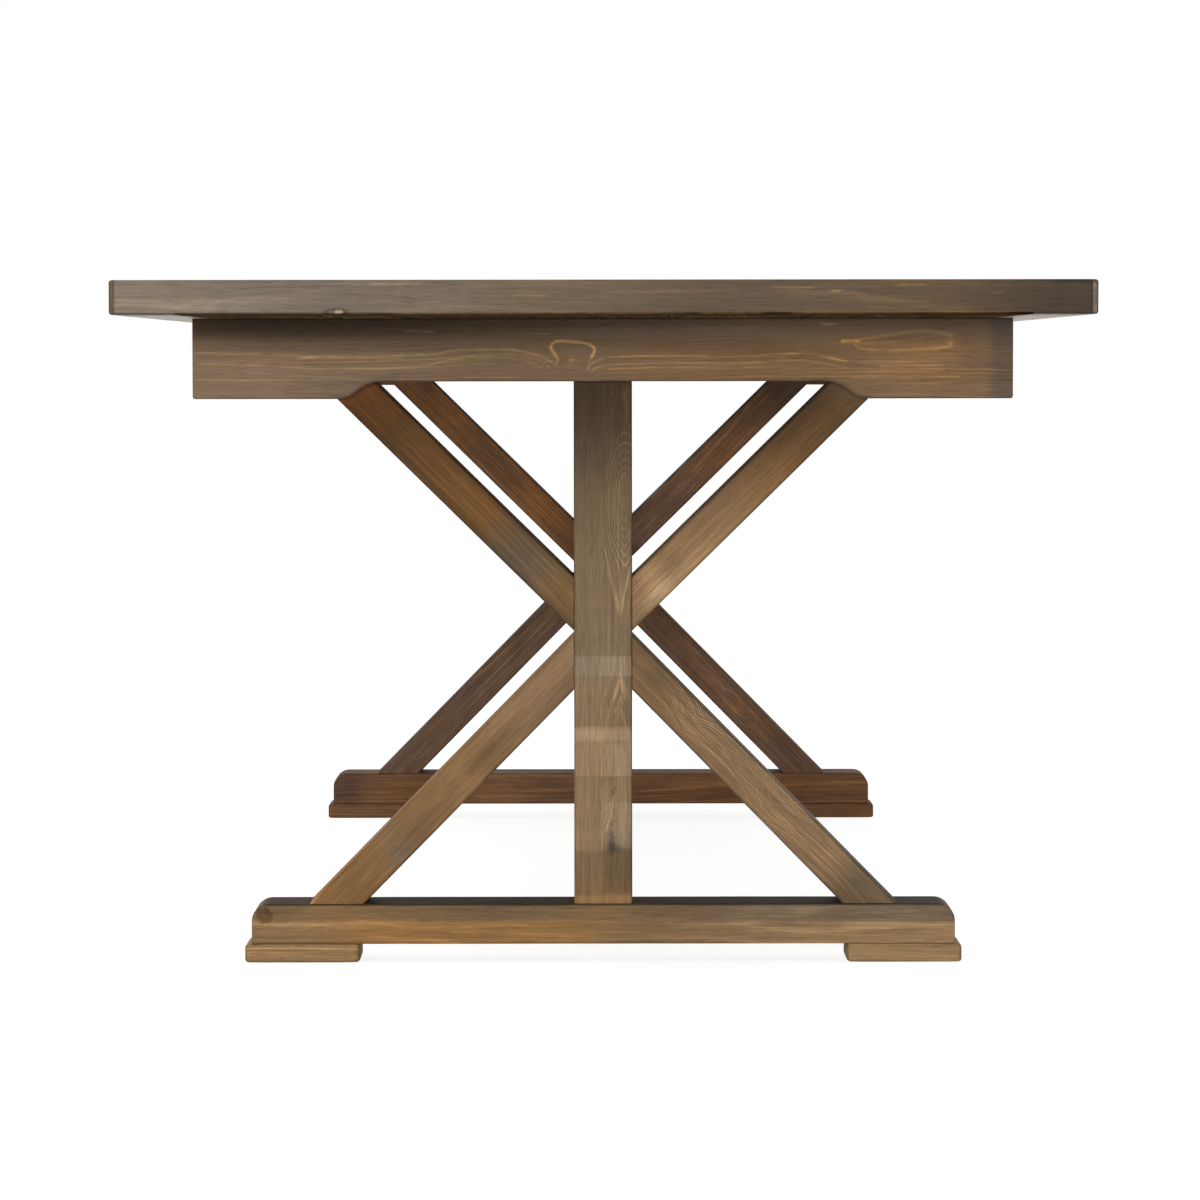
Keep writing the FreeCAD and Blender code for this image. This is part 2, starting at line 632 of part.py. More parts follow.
    # Braces
    for sx in (-1, 1):
        for kind, pts, post_z, beam_x, beam_z in (
            ("upper", up_pts, up_post_z, up_beam_x, rail_under),
            ("lower", lo_pts, lo_post_z, lo_beam_x, D["foot_top"]),
        ):
            body = new_body("%s_%s_brace_%s" % (end, kind, side_of(sx)))
            s = sketch_on(body, "XZ_Plane", "outline")
            loop(s, mirror(pts, sx))
            pad(body, s, D["trestle_deep"], both=True)
            ease(body, D["wood_arris"], lambda e: (
                near(e.BoundBox.YMin, e.BoundBox.YMax)
                and e.BoundBox.XMax - e.BoundBox.XMin > 150
                and e.BoundBox.ZMax - e.BoundBox.ZMin > 150))
            s = sketch_on(body, "YZ_Plane", "post_dowel_holes", post_half * sx)
            circle(s, -ds, post_z, dd)
            circle(s, ds, post_z, dd)
            cut(body, s, D["dowel_brace"], flip=sx > 0)
            s = sketch_on(body, "XY_Plane", "beam_dowel_holes", beam_z)
            circle(s, beam_x * sx, -ds, dd)
            circle(s, beam_x * sx, ds, dd)
            cut(body, s, D["dowel_brace"], flip=kind == "lower")
            place(body, y=y_mid, turned=turned)

    # Dowels in the ends of the braces
    body = new_body(end + "_brace_dowels")
    for sx in (-1, 1):
        s = sketch_on(body, "YZ_Plane", "post_dowels_%d" % (sx + 1), (post_half - D["dowel_post"]) * sx)
        for sy in (-1, 1):
            circle(s, ds * sy, up_post_z, dd)
            circle(s, ds * sy, lo_post_z, dd)
        pad(body, s, D["dowel_post"] + D["dowel_brace"], flip=sx < 0)
    s = sketch_on(body, "XY_Plane", "rail_dowels", rail_under - D["dowel_brace"])
    t = sketch_on(body, "XY_Plane", "foot_dowels", D["foot_top"] - D["dowel_beam"])
    for sx in (-1, 1):
        for sy in (-1, 1):
            circle(s, up_beam_x * sx, ds * sy, dd)
            circle(t, lo_beam_x * sx, ds * sy, dd)
    pad(body, s, D["dowel_brace"] + D["dowel_beam"])
    pad(body, t, D["dowel_brace"] + D["dowel_beam"])
    place(body, y=y_mid, turned=turned)

    # Top rail
    rh = D["rail_half"]
    body = new_body(end + "_top_rail")
    s = sketch_on(body, "XZ_Plane", "outline")
    rectangle(s, -rh, rail_under, rh, top_under)
    pad(body, s, D["trestle_deep"], both=True)
    ease(body, D["wood_arris"], lambda e: along(e, V(1, 0, 0)) and near(e.BoundBox.ZMin, rail_under.v))
    s = sketch_on(body, "XY_Plane", "mortise", rail_under)
    rectangle(s, -D["post_tenon_wide"] / 2, -D["post_tenon_thick"] / 2, D["post_tenon_wide"] / 2, D["post_tenon_thick"] / 2)
    cut(body, s, D["post_tenon_long"], flip=True)
    s = sketch_on(body, "XY_Plane", "dowel_holes", rail_under)
    for sx in (-1, 1):
        for sy in (-1, 1):
            circle(s, up_beam_x * sx, ds * sy, dd)
    cut(body, s, D["dowel_beam"], flip=True)
    top_spots = []
    for sx in (-1, 1):
        top_spots.append((D["top_screw_a"] * sx, ZERO))
        top_spots.append((plank_w * sx, ZERO))
        top_spots.append(((plank_w * 2 - D["top_screw_shift"]) * sx, ZERO))
        top_spots.append(((plank_w * 3 - D["top_screw_shift"]) * sx, ZERO))
    s = sketch_on(body, "XY_Plane", "screw_holes", rail_under)
    t = sketch_on(body, "XY_Plane", "sinks", rail_under)
    for x, y in top_spots:
        circle(s, x, y, D["screw_clear"])
        circle(t, x, y, D["sink_dia"])
    cut(body, s, D["rail_high"], flip=True)
    cut(body, t, D["top_sink"], flip=True)
    apron_z = rail_under + D["apron_screw_up"]
    apron_spots = []
    for sx in (-1, 1):
        for x in (D["apron_screw_a"], D["apron_screw_b"], D["apron_screw_c"]):
            apron_spots.append((x * sx, apron_z))
    # The sketch's normal is -Y, so the inner face is at minus half the depth along it
    s = sketch_on(body, "XZ_Plane", "apron_screw_holes", -deep_half)
    t = sketch_on(body, "XZ_Plane", "apron_sinks", -deep_half)
    for x, z in apron_spots:
        circle(s, x, z, D["screw_clear"])
        circle(t, x, z, D["sink_dia"])
    cut(body, s, D["trestle_deep"], flip=True)
    cut(body, t, D["apron_sink"], flip=True)
    place(body, y=y_mid, turned=turned)

    # End apron, with its arched lower edge: nose, hollow, flat, hollow, nose. The rear one is a little shallower.
    ah, ath = D["apron_half"], D["apron_thick"]
    half = D["arch_half"]
    z_top = apron_under + D["arch_rise"]
    z0 = top_under - D["rear_apron_high"] if turned else apron_under
    rise = z_top - z0
    slope = D["ogee_slope"]
    r1 = D["ogee_nose"]
    r2 = rise / (1 - cosine(slope)) - r1
    sn, cs = sine(slope), cosine(slope)
    x_mid = half - r1 * sn  # where nose and hollow meet
    z_mid = z0 + r1 * (1 - cs)
    x_in = half - (r1 + r2) * sn  # where the flat begins
    body = new_body(end + "_end_apron")
    s = sketch_on(body, "XZ_Plane", "outline")
    loop(s, [
        (ah, top_under), (-ah, top_under), (-ah, z0),
        (-half, z0, -half, z0 + r1, r1, True),
        (-x_mid, z_mid, -x_in, z_top - r2, r2, False),
        (-x_in, z_top),
        (x_in, z_top, x_in, z_top - r2, r2, False),
        (x_mid, z_mid, half, z0 + r1, r1, True),
        (half, z0), (ah, z0),
    ])
    pad(body, s, ath, both=True)
    ease(body, D["wood_arris"], lambda e: (
        near(e.BoundBox.YMin, e.BoundBox.YMax) and near(abs(e.BoundBox.YMin), ath.v / 2)
        and not near(e.BoundBox.ZMin, top_under.v)))
    s = sketch_on(body, "XZ_Plane", "pilot_holes", -ath / 2)
    for x, z in apron_spots:
        circle(s, x, z, D["screw_dia"])
    cut(body, s, D["apron_bite"], flip=True)
    off = (D["trestle_deep"] + ath) / 2
    place(body, y=y_mid + (off if turned else -off), turned=turned)

    # Screws of this end
    body = screw_group(end + "_top_screws", "XY_Plane", top_spots, rail_under + D["top_sink"],
                       D["rail_high"] - D["top_sink"] + D["top_bite"])
    place(body, y=y_mid, turned=turned)
    # Along the XZ plane's normal, which is -Y: the heads sit inside the rail and the shanks run outwards to the apron
    body = screw_group(end + "_apron_screws", "XZ_Plane", apron_spots, -deep_half + D["apron_sink"],
                       D["trestle_deep"] - D["apron_sink"] + D["apron_bite"])
    place(body, y=y_mid, turned=turned)
    pad_spots = []
    for sx in (-1, 1):
        pad_spots.append((D["pad_screw_a"] * sx, ZERO))
        pad_spots.append((D["pad_screw_b"] * sx, ZERO))
    body = screw_group(end + "_foot_pad_screws", "XY_Plane", pad_spots, D["pad_sink"],
                       D["pad_high"] - D["pad_sink"] + D["pad_bite"])
    place(body, y=y_mid, turned=turned)


trestle("front")
trestle("rear")

# ---------------------------------------------------------------------------------------------------------------------
# The stretcher, from post to post, and the pegs through its tenons
# ---------------------------------------------------------------------------------------------------------------------

span = tm * 2 - D["trestle_deep"]
b = new_body("stretcher")
s = sketch_on(b, "XZ_Plane", "section")
rectangle(s, -D["stretcher_wide"] / 2, D["stretcher_mid"] - D["stretcher_high"] / 2,
          D["stretcher_wide"] / 2, D["stretcher_mid"] + D["stretcher_high"] / 2)
pad(b, s, span, both=True)
ease(b, D["stretcher_arris"], lambda e: along(e, V(0, 1, 0)))
s = sketch_on(b, "XZ_Plane", "tenons")
rectangle(s, -D["stub_thick"] / 2, D["stretcher_mid"] - D["stub_high"] / 2, D["stub_thick"] / 2, D["stretcher_mid"] + D["stub_high"] / 2)
pad(b, s, span + 2 * D["stub_long"], both=True)
s = sketch_on(b, "YZ_Plane", "peg_holes")
for sy in (-1, 1):
    for step in (-1, 1):
        circle(s, (tm - D["stub_peg_in"]) * sy, D["stretcher_mid"] + D["stub_peg_step"] * step, D["peg_dia"])
cut(b, s, D["stretcher_wide"] * 4, both=True)

b = new_body("stretcher_pegs")
s = sketch_on(b, "YZ_Plane", "pegs")
for sy in (-1, 1):
    for step in (-1, 1):
        circle(s, (tm - D["stub_peg_in"]) * sy, D["stretcher_mid"] + D["stub_peg_step"] * step, D["peg_dia"])
pad(b, s, D["post_wide"], both=True)

# ---------------------------------------------------------------------------------------------------------------------
# Test every object, then write one STEP file for each node
# ---------------------------------------------------------------------------------------------------------------------

doc.recompute()
for o in doc.Objects:
    if any(word in str(state) for state in o.State for word in ("Invalid", "Error")):
        raise RuntimeError("%s is %s" % (o.Label, o.State))
labels = [b.Label for b in NODES]
if len(set(labels)) != len(labels) or len(labels) > 60:
    raise RuntimeError("labels are not unique, or too many")
for b in NODES:
    if b.Shape.isNull() or not b.Shape.isValid() or not b.Shape.Solids:
        raise RuntimeError("bad shape: " + b.Label)
    for solid in b.Shape.Solids:
        if not solid.isValid() or solid.Volume <= 0:
            raise RuntimeError("bad solid in " + b.Label)

os.makedirs("parts", exist_ok=True)
for b in NODES:
    b.Shape.exportStep(os.path.join("parts", b.Label + ".step"))
    bb = b.Shape.BoundBox
    print("%-28s %2d solids %10.1f cm3  x %8.2f %8.2f  y %8.2f %8.2f  z %7.2f %7.2f" % (
        b.Label, len(b.Shape.Solids), b.Shape.Volume / 1000, bb.XMin, bb.XMax, bb.YMin, bb.YMax, bb.ZMin, bb.ZMax))
print("%d nodes" % len(NODES))
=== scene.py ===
import math

import bpy
import numpy as np
from mathutils import Matrix, Vector


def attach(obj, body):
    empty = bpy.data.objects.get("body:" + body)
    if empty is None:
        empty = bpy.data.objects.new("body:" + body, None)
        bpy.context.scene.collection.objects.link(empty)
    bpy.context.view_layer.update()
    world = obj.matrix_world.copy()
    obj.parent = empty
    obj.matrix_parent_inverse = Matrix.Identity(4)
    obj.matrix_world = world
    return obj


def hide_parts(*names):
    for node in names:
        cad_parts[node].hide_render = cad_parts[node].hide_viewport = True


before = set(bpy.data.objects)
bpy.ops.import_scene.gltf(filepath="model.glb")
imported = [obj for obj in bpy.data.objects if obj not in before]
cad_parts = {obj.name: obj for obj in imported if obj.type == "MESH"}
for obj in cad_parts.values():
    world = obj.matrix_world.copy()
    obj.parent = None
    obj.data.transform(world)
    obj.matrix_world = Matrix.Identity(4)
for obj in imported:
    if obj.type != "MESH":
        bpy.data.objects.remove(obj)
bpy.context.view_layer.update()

scene = bpy.context.scene

# ----------------------------------------------------------------------------------------------------------------------
# Camera: on the table's long axis, a little below the top
# ----------------------------------------------------------------------------------------------------------------------

cam_data = bpy.data.cameras.new("camera")
cam_data.sensor_fit = "HORIZONTAL"
cam_data.sensor_width = 36.0
cam_data.lens = 127.2
cam_data.clip_start = 0.05
cam_data.clip_end = 200.0
cam = bpy.data.objects.new("camera", cam_data)
cam.location = (-0.011, -5.575, 0.6825)
cam.rotation_euler = (math.radians(90 - 3.2397), 0.0011, -math.radians(0.0944))
scene.collection.objects.link(cam)
scene.camera = cam

# ----------------------------------------------------------------------------------------------------------------------
# Seeded gradient noise, for the shapes and for the grain
# ----------------------------------------------------------------------------------------------------------------------

_rng = np.random.default_rng(4286)
_perm = np.concatenate([_rng.permutation(256)] * 3)
_grad = np.array([(1, 1, 0), (-1, 1, 0), (1, -1, 0), (-1, -1, 0), (1, 0, 1), (-1, 0, 1), (1, 0, -1), (-1, 0, -1),
                  (0, 1, 1), (0, -1, 1), (0, 1, -1), (0, -1, -1)], float)


def perlin(x, y=0.0, z=0.0):
    x, y, z = np.broadcast_arrays(np.asarray(x, float), np.asarray(y, float), np.asarray(z, float))
    xi, yi, zi = np.floor(x).astype(int), np.floor(y).astype(int), np.floor(z).astype(int)
    xf, yf, zf = x - xi, y - yi, z - zi
    fade = lambda t: t * t * t * (t * (t * 6 - 15) + 10)
    a, b, c = fade(xf), fade(yf), fade(zf)
    out = np.zeros(x.shape)
    for dx in (0, 1):
        wx = a if dx else 1 - a
        for dy in (0, 1):
            wy = b if dy else 1 - b
            for dz in (0, 1):
                wz = c if dz else 1 - c
                h = _perm[_perm[_perm[(xi + dx) & 255] + ((yi + dy) & 255)] + ((zi + dz) & 255)] % 12
                g = _grad[h]
                out = out + wx * wy * wz * (g[..., 0] * (xf - dx) + g[..., 1] * (yf - dy) + g[..., 2] * (zf - dz))
    return out * 1.2


def fbm(x, y=0.0, z=0.0, octaves=3):
    total, amp = 0.0, 0.6
    for k in range(octaves):
        total = total + amp * perlin(np.asarray(x) * 2 ** k + 17.3 * k, np.asarray(y) * 2 ** k + 5.1 * k, np.asarray(z) * 2 ** k)
        amp *= 0.5
    return total


def smooth(a, b, x):
    t = np.clip((np.asarray(x, float) - a) / (b - a), 0.0, 1.0)
    return t * t * (3 - 2 * t)


def blob(u, v, u0, v0, su, sv):
    """A soft round patch: 1 at its middle."""
    return np.exp(-(((u - u0) / su) ** 2 + ((v - v0) / sv) ** 2))


def bump1(x, x0, half):
    """A soft rise and fall along one direction."""
    return np.exp(-((np.asarray(x, float) - x0) / half) ** 2)


def band(x, a, b, soft=0.003):
    """1 between a and b, with soft ends."""
    return smooth(a - soft / 2, a + soft / 2, x) * smooth(b + soft / 2, b - soft / 2, x)


def curve_through(points, per=7):
    """A smooth line through a few points."""
    P = np.array(points, float)
    P = np.vstack([2 * P[0] - P[1], P, 2 * P[-1] - P[-2]])
    out = []
    for i in range(1, len(P) - 2):
        for t in np.linspace(0, 1, per, endpoint=False):
            out.append(0.5 * (2 * P[i] + (P[i + 1] - P[i - 1]) * t + (2 * P[i - 1] - 5 * P[i] + 4 * P[i + 1] - P[i + 2]) * t * t
                              + (3 * P[i] - P[i - 1] - 3 * P[i + 1] + P[i + 2]) * t ** 3))
    out.append(P[-2])
    return np.array(out)


def stroke(u, v, points, half, strength=1.0, seed=0.0):
    """A light line of grain drawn through a few points: strongest on the line, broken up along it."""
    C = curve_through(points)
    best = np.full(np.shape(u), 9.0)
    for a, b in zip(C[:-1], C[1:]):
        d = b - a
        t = np.clip(((u - a[0]) * d[0] + (v - a[1]) * d[1]) / max(d @ d, 1e-12), 0, 1)
        best = np.minimum(best, np.hypot(u - a[0] - t * d[0], v - a[1] - t * d[1]))
    vary = np.clip(0.75 + 0.6 * perlin(u * 55 + seed, v * 40 + 3.3 * seed), 0.15, 1.2)
    return strength * vary * np.exp(-(best / half) ** 2)


# ----------------------------------------------------------------------------------------------------------------------
# Board builder. A board is a lattice-skinned block in its own frame: u along the grain, v across, w through.
# ----------------------------------------------------------------------------------------------------------------------

TAN = [math.tan(math.radians(a)) for a in (0, 15, 30, 45)]
TAN_FINE = [math.tan(math.radians(a)) for a in (0, 7.5, 15, 22.5, 30, 37.5, 45)]


def grid_lines(half, r_lo, r_hi, step, more=(), big_lo=0.0, big_hi=0.0):
    """Positions from -half to half, close together where an arris or a corner is rounded."""
    s = set()
    for sign, r, big in ((-1, r_lo, big_lo), (1, r_hi, big_hi)):
        if r > 0:
            s.update(sign * (half - r + r * t) for t in TAN)
            if r > 3e-4:
                s.add(sign * (half - r * 1.3 - 5e-4))
        else:
            s.add(sign * half)
        if big > 0:
            s.update(sign * (half - big + big * t) for t in TAN_FINE)
        s.add(sign * half)
    edge_lo = -half + max(r_lo * 1.3 + 5e-4, big_lo)
    edge_hi = half - max(r_hi * 1.3 + 5e-4, big_hi)
    n = max(1, int(round((edge_hi - edge_lo) / step)))
    s.update(edge_lo + (edge_hi - edge_lo) * k / n for k in range(1, n))
    for m in more:
        if -half < m < half:
            s.add(m)
    lines = sorted(s)
    kept = [lines[0]]
    for x in lines[1:]:
        if x - kept[-1] > 4e-5:
            kept.append(x)
    kept[-1] = half
    return np.array(kept)


def board(name, nodes, mat, size, to_table, *, step=(0.008, 0.007, 0.008), arris=0.0018, end_arris=0.0005,
          corners=(0, 0, 0, 0), more_u=(), more_v=(), warp=None, grain=None, tone=None, knots=(), dents=(), seed=0,
          sway=0.00025, radius_of=None, worn=0.62, dull=None):
    """Makes one board. corners are the radii in the u-v plane at (-,-), (+,-), (+,+), (-,+). dull is a second material and
    a function that is true where it goes."""
    L, W, T = size
    hl, hw, ht = L / 2, W / 2, T / 2
    if radius_of is None:
        radius_of = lambda u, v, w: (np.full(u.shape, end_arris), np.full(u.shape, arris))
    c00, c10, c11, c01 = corners
    rmax = max(arris, 0.0004)
    gu = grid_lines(hl, max(end_arris, 3e-4), max(end_arris, 3e-4), step[0], more_u, max(c00, c01), max(c10, c11))
    gv = grid_lines(hw, rmax, rmax, step[1], more_v, max(c00, c10), max(c01, c11))
    gw = grid_lines(ht, rmax, rmax, step[2])
    nu, nv, nw = len(gu), len(gv), len(gw)
    iu, iv, iw = np.meshgrid(np.arange(nu), np.arange(nv), np.arange(nw), indexing="ij")
    skin = (iu == 0) | (iu == nu - 1) | (iv == 0) | (iv == nv - 1) | (iw == 0) | (iw == nw - 1)
    index = np.full((nu, nv, nw), -1)
    index[skin] = np.arange(skin.sum())
    U, Vv, Ww = gu[iu[skin]], gv[iv[skin]], gw[iw[skin]]
    straight = np.stack([U, Vv, Ww], 1)
    endg = (np.abs(U) > hl - 1e-7).astype(float)
    su, sv, sw = np.sign(U), np.sign(Vv), np.sign(Ww)

    # Arrises: rounded by radii that wander a little along the board, always inside the nominal shape
    ru, rv = radius_of(U, Vv, Ww)
    wander = 0.78 + 0.3 * perlin(U * 21 + seed, sv * 3.3 + 0.5, sw * 5.7 + seed) + 0.12 * perlin(U * 90, sv * 7.1 + seed, sw * 3.9)
    rv = rv * np.clip(wander, 0.45, 1.0)
    au = np.clip((np.abs(U) - (hl - ru)) / np.maximum(ru, 1e-6), 0, 1)
    av = np.clip((np.abs(Vv) - (hw - rv)) / np.maximum(rv, 1e-6), 0, 1)
    use_u = au > av
    rw = np.where(use_u, np.maximum(ru, 0.35 * rv), rv)
    cw = np.clip((np.abs(Ww) - (ht - rw)) / np.maximum(rw, 1e-6), 0, 1)
    a = np.maximum(au, av)
    k = 1 / np.sqrt(np.maximum(a * a + cw * cw, 1.0 * (a * a + cw * cw < 1e-12)))
    both = (a > 1e-9) & (cw > 1e-9)
    k = np.where(both, k, 1.0)
    U = np.where(au > 1e-9, su * (hl - ru + ru * au * k), U)
    Vv = np.where(av > 1e-9, sv * (hw - rv + rv * av * k), Vv)
    Ww = np.where(cw > 1e-9, sw * (ht - rw + rw * cw * k), Ww)

    # Rounded corners of the outline
    for (cu, cv, r) in ((-1, -1, c00), (1, -1, c10), (1, 1, c11), (-1, 1, c01)):
        if r > 0:
            p, q = cu * U - (hl - r), cv * Vv - (hw - r)
            m = (p > 0) & (q > 0)
            f = np.maximum(p, q) / np.maximum(np.hypot(p, q), 1e-9)
            U = np.where(m, cu * (hl - r + p * f), U)
            Vv = np.where(m, cv * (hw - r + q * f), Vv)

    # Faces that are not quite flat, only ever inwards
    if sway > 0:
        dv = sway * (0.5 + 0.5 * np.clip(fbm(U * 5 + seed * 3.1, Ww * 14 + sv * 9.7, seed), -1, 1))
        dw = sway * (0.5 + 0.5 * np.clip(fbm(U * 4 - seed * 2.3, Vv * 16, sw * 8.3 + seed), -1, 1))
        Vv = Vv * (1 - dv / hw)
        Ww = Ww * (1 - dw / ht)

    wear = np.zeros(U.shape)
    for (u0, v0, w0, lu, lr, depth, way, bare) in dents:
        d = np.sqrt(((U - u0) / lu) ** 2 + ((Vv - v0) / lr) ** 2 + ((Ww - w0) / lr) ** 2)
        f = np.clip(1.15 - d + 0.35 * perlin(U * 260 + seed, Vv * 320, Ww * 320), 0, 1) ** 0.8 * (d < 1.25)
        way = np.array(way, float) / np.linalg.norm(way)
        U, Vv, Ww = U + way[0] * depth * f, Vv + way[1] * depth * f, Ww + way[2] * depth * f
        wear = np.maximum(wear, bare * np.clip(f * 1.3, 0, 1))

    edge_v, edge_w = hw - np.abs(straight[:, 1]), ht - np.abs(straight[:, 2])
    near = smooth(0.0032, 0.0004, np.maximum(edge_v, edge_w))
    rub = smooth(0.12, 0.45, fbm(straight[:, 0] * 7 + seed * 1.7, sv * 2.2 + seed, sw * 4.1))
    wear = np.maximum(wear, worn * near * rub)
    # rim marks the arrises for painted shade, left off where they are rubbed
    rim = smooth(0.0030, 0.0008, np.maximum(edge_v, edge_w)) * (1 - rub)

    if warp is not None:
        U, Vv, Ww = warp(U, Vv, Ww)

    n = len(U)
    me = bpy.data.meshes.new(name)
    me.vertices.add(n)
    local = np.stack([U, Vv, Ww], 1)
    m4 = np.array(to_table)
    co = local @ m4[:3, :3].T + m4[:3, 3]
    me.vertices.foreach_set("co", co.astype(np.float32).ravel())

    quads, uvs = [], []
    lo = straight.min(0)
    span = np.ptp(straight, axis=0)
    # Layout of the six sides on one square: four long strips and the two ends
    total = 2 * W + 2 * T + 0.06 * (W + T)
    gap = 0.015 * (W + T)
    end_w = min(W, L * 0.2) + 1e-9
    right = L + 0.02 * L + end_w

    def side(ids, a_axis, b_axis, flip, at, along=False):
        q = np.stack([ids[:-1, :-1], ids[1:, :-1], ids[1:, 1:], ids[:-1, 1:]], -1).reshape(-1, 4)
        if flip:
            q = q[:, ::-1]
        quads.append(q)
        s = straight[q.ravel()]
        if not along:
            x = (s[:, a_axis] - lo[a_axis]) / right
            y = (at + s[:, b_axis] - lo[b_axis]) / total
        else:
            x = (L * 1.02 + (s[:, a_axis] - lo[a_axis]) / max(span[a_axis], 1e-9) * end_w) / right
            y = (at + s[:, b_axis] - lo[b_axis]) / total
        uvs.append(np.stack([x * 0.996 + 0.002, y * 0.996 + 0.002], 1))

    side(index[:, :, nw - 1], 0, 1, False, 0.0)
    side(index[:, :, 0], 0, 1, True, W + gap)
    side(index[:, nv - 1, :], 0, 2, True, 2 * W + 2 * gap)
    side(index[:, 0, :], 0, 2, False, 2 * W + T + 3 * gap)
    side(index[nu - 1, :, :], 1, 2, False, 0.0, True)
    side(index[0, :, :], 1, 2, True, T + gap, True)
    quads = np.concatenate(quads)
    uvs = np.concatenate(uvs)
    me.loops.add(quads.size)
    me.loops.foreach_set("vertex_index", quads.ravel().astype(np.int32))
    me.polygons.add(len(quads))
    me.polygons.foreach_set("loop_start", np.arange(0, quads.size, 4, dtype=np.int32))
    me.polygons.foreach_set("use_smooth", np.ones(len(quads), bool))
    me.materials.append(mat)
    if dull is not None:
        me.materials.append(dull[0])
        centre = straight[quads].mean(1)
        me.polygons.foreach_set("material_index", np.asarray(dull[1](*centre.T), np.int32))
    me.update(calc_edges=True)
    layer = me.uv_layers.new(name="OFBake")
    layer.uv.foreach_set("vector", uvs.astype(np.float32).ravel())
    me.validate()

    stamp(me, local, grain, knots, tone, wear, rim, endg, seed)
    ob = bpy.data.objects.new(name, me)
    scene.collection.objects.link(ob)
    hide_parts(*([nodes] if isinstance(nodes, str) else nodes))
    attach(ob, "root")
    return ob


def stamp(me, local, grain, knots, tone, wear, rim, endg, seed):
    """Writes what the wood shader reads: where in the board a point is, its growth ring, its distance from a knot, and its tone."""
    u, v, w = local[:, 0], local[:, 1], local[:, 2]
    g = dict(v0=0.02, w0=-0.06, tv=0.0, tw=0.01, pitch=0.0045, wob=0.006, warp=0.0012, pith=None, radius=None, gain=None, bend=None, fine=0.0004,
             mark=None)
    g.update(grain or {})
    s = seed * 7.77
    if g["radius"] is not None:
        R = g["radius"](u, v, w)
    elif g["pith"] is None:
        m1 = g["wob"] * (perlin(u * 1.3 + s, 3.1) + 0.4 * perlin(u * 4.1 + s, 7.7))
        m2 = g["wob"] * 1.3 * (perlin(u * 1.1 - s, 11.3) + 0.4 * perlin(u * 3.3 - s, 2.9))
        R = np.hypot(v - g["v0"] - g["tv"] * u - m1, w - g["w0"] - g["tw"] * u - m2)
    else:
        pv, pw = g["pith"](u)
        R = np.hypot(v - pv, w - pw)
    R = R + g["warp"] * fbm(u * 3.5 + s, v * 16, w * 16) + g["fine"] * fbm(u * 34 + s, v * 60, w * 60)
    ring = R / g["pitch"]
    if g["bend"] is not None:
        ring = ring + g["bend"](u, v, w)
    knot = np.full(u.shape, 0.2)
    for (u0, v0, r, stretch) in knots:
        d = np.hypot((u - u0) / stretch, v - v0)
        ring = ring + 0.0105 / g["pitch"] * (r / 0.009) * np.exp(-((d / (2.0 * r)) ** 2))
        knot = np.minimum(knot, d - r)
    gain = np.full(u.shape, 1.0) if g["gain"] is None else g["gain"](u, v, w)
    mark = np.zeros(u.shape) if g["mark"] is None else np.clip(g["mark"](u, v, w), 0, 1)
    pale, warm = 0.15 * fbm(u * 1.1 + s, v * 7 + seed, w * 7), 0.35 * fbm(u * 1.7 - s, v * 9, w * 9 + seed)
    if tone is not None:
        p2, w2 = tone(u, v, w)
        pale, warm = pale + p2, warm + w2
    shift = np.array([seed * 1.37, seed * 0.91, seed * 0.53])
    for label, kind, values in (("board", "FLOAT_VECTOR", local + shift), ("ring", "FLOAT", ring), ("knot", "FLOAT", knot),
                                ("mark", "FLOAT", mark),
                                ("tone", "FLOAT_VECTOR", np.stack([pale, warm, wear], 1)),
                                ("look", "FLOAT_VECTOR", np.stack([gain, rim, endg], 1))):
        a = me.attributes.new(label, kind, "POINT")
        a.data.foreach_set("vector" if kind == "FLOAT_VECTOR" else "value", np.asarray(values, np.float32).ravel())


def axes(origin, u, w):
    """A board's frame from its middle, its grain direction and its face direction, in metres."""
    u, w = Vector(u).normalized(), Vector(w).normalized()
    v = w.cross(u)
    return Matrix(((u.x, v.x, w.x, origin[0]), (u.y, v.y, w.y, origin[1]), (u.z, v.z, w.z, origin[2]), (0, 0, 0, 1)))


# ----------------------------------------------------------------------------------------------------------------------
# Materials
# ----------------------------------------------------------------------------------------------------------------------


def lin(r, g, b):
    return tuple((c / 255 / 12.92) if c / 255 <= 0.04045 else ((c / 255 + 0.055) / 1.055) ** 2.4 for c in (r, g, b))


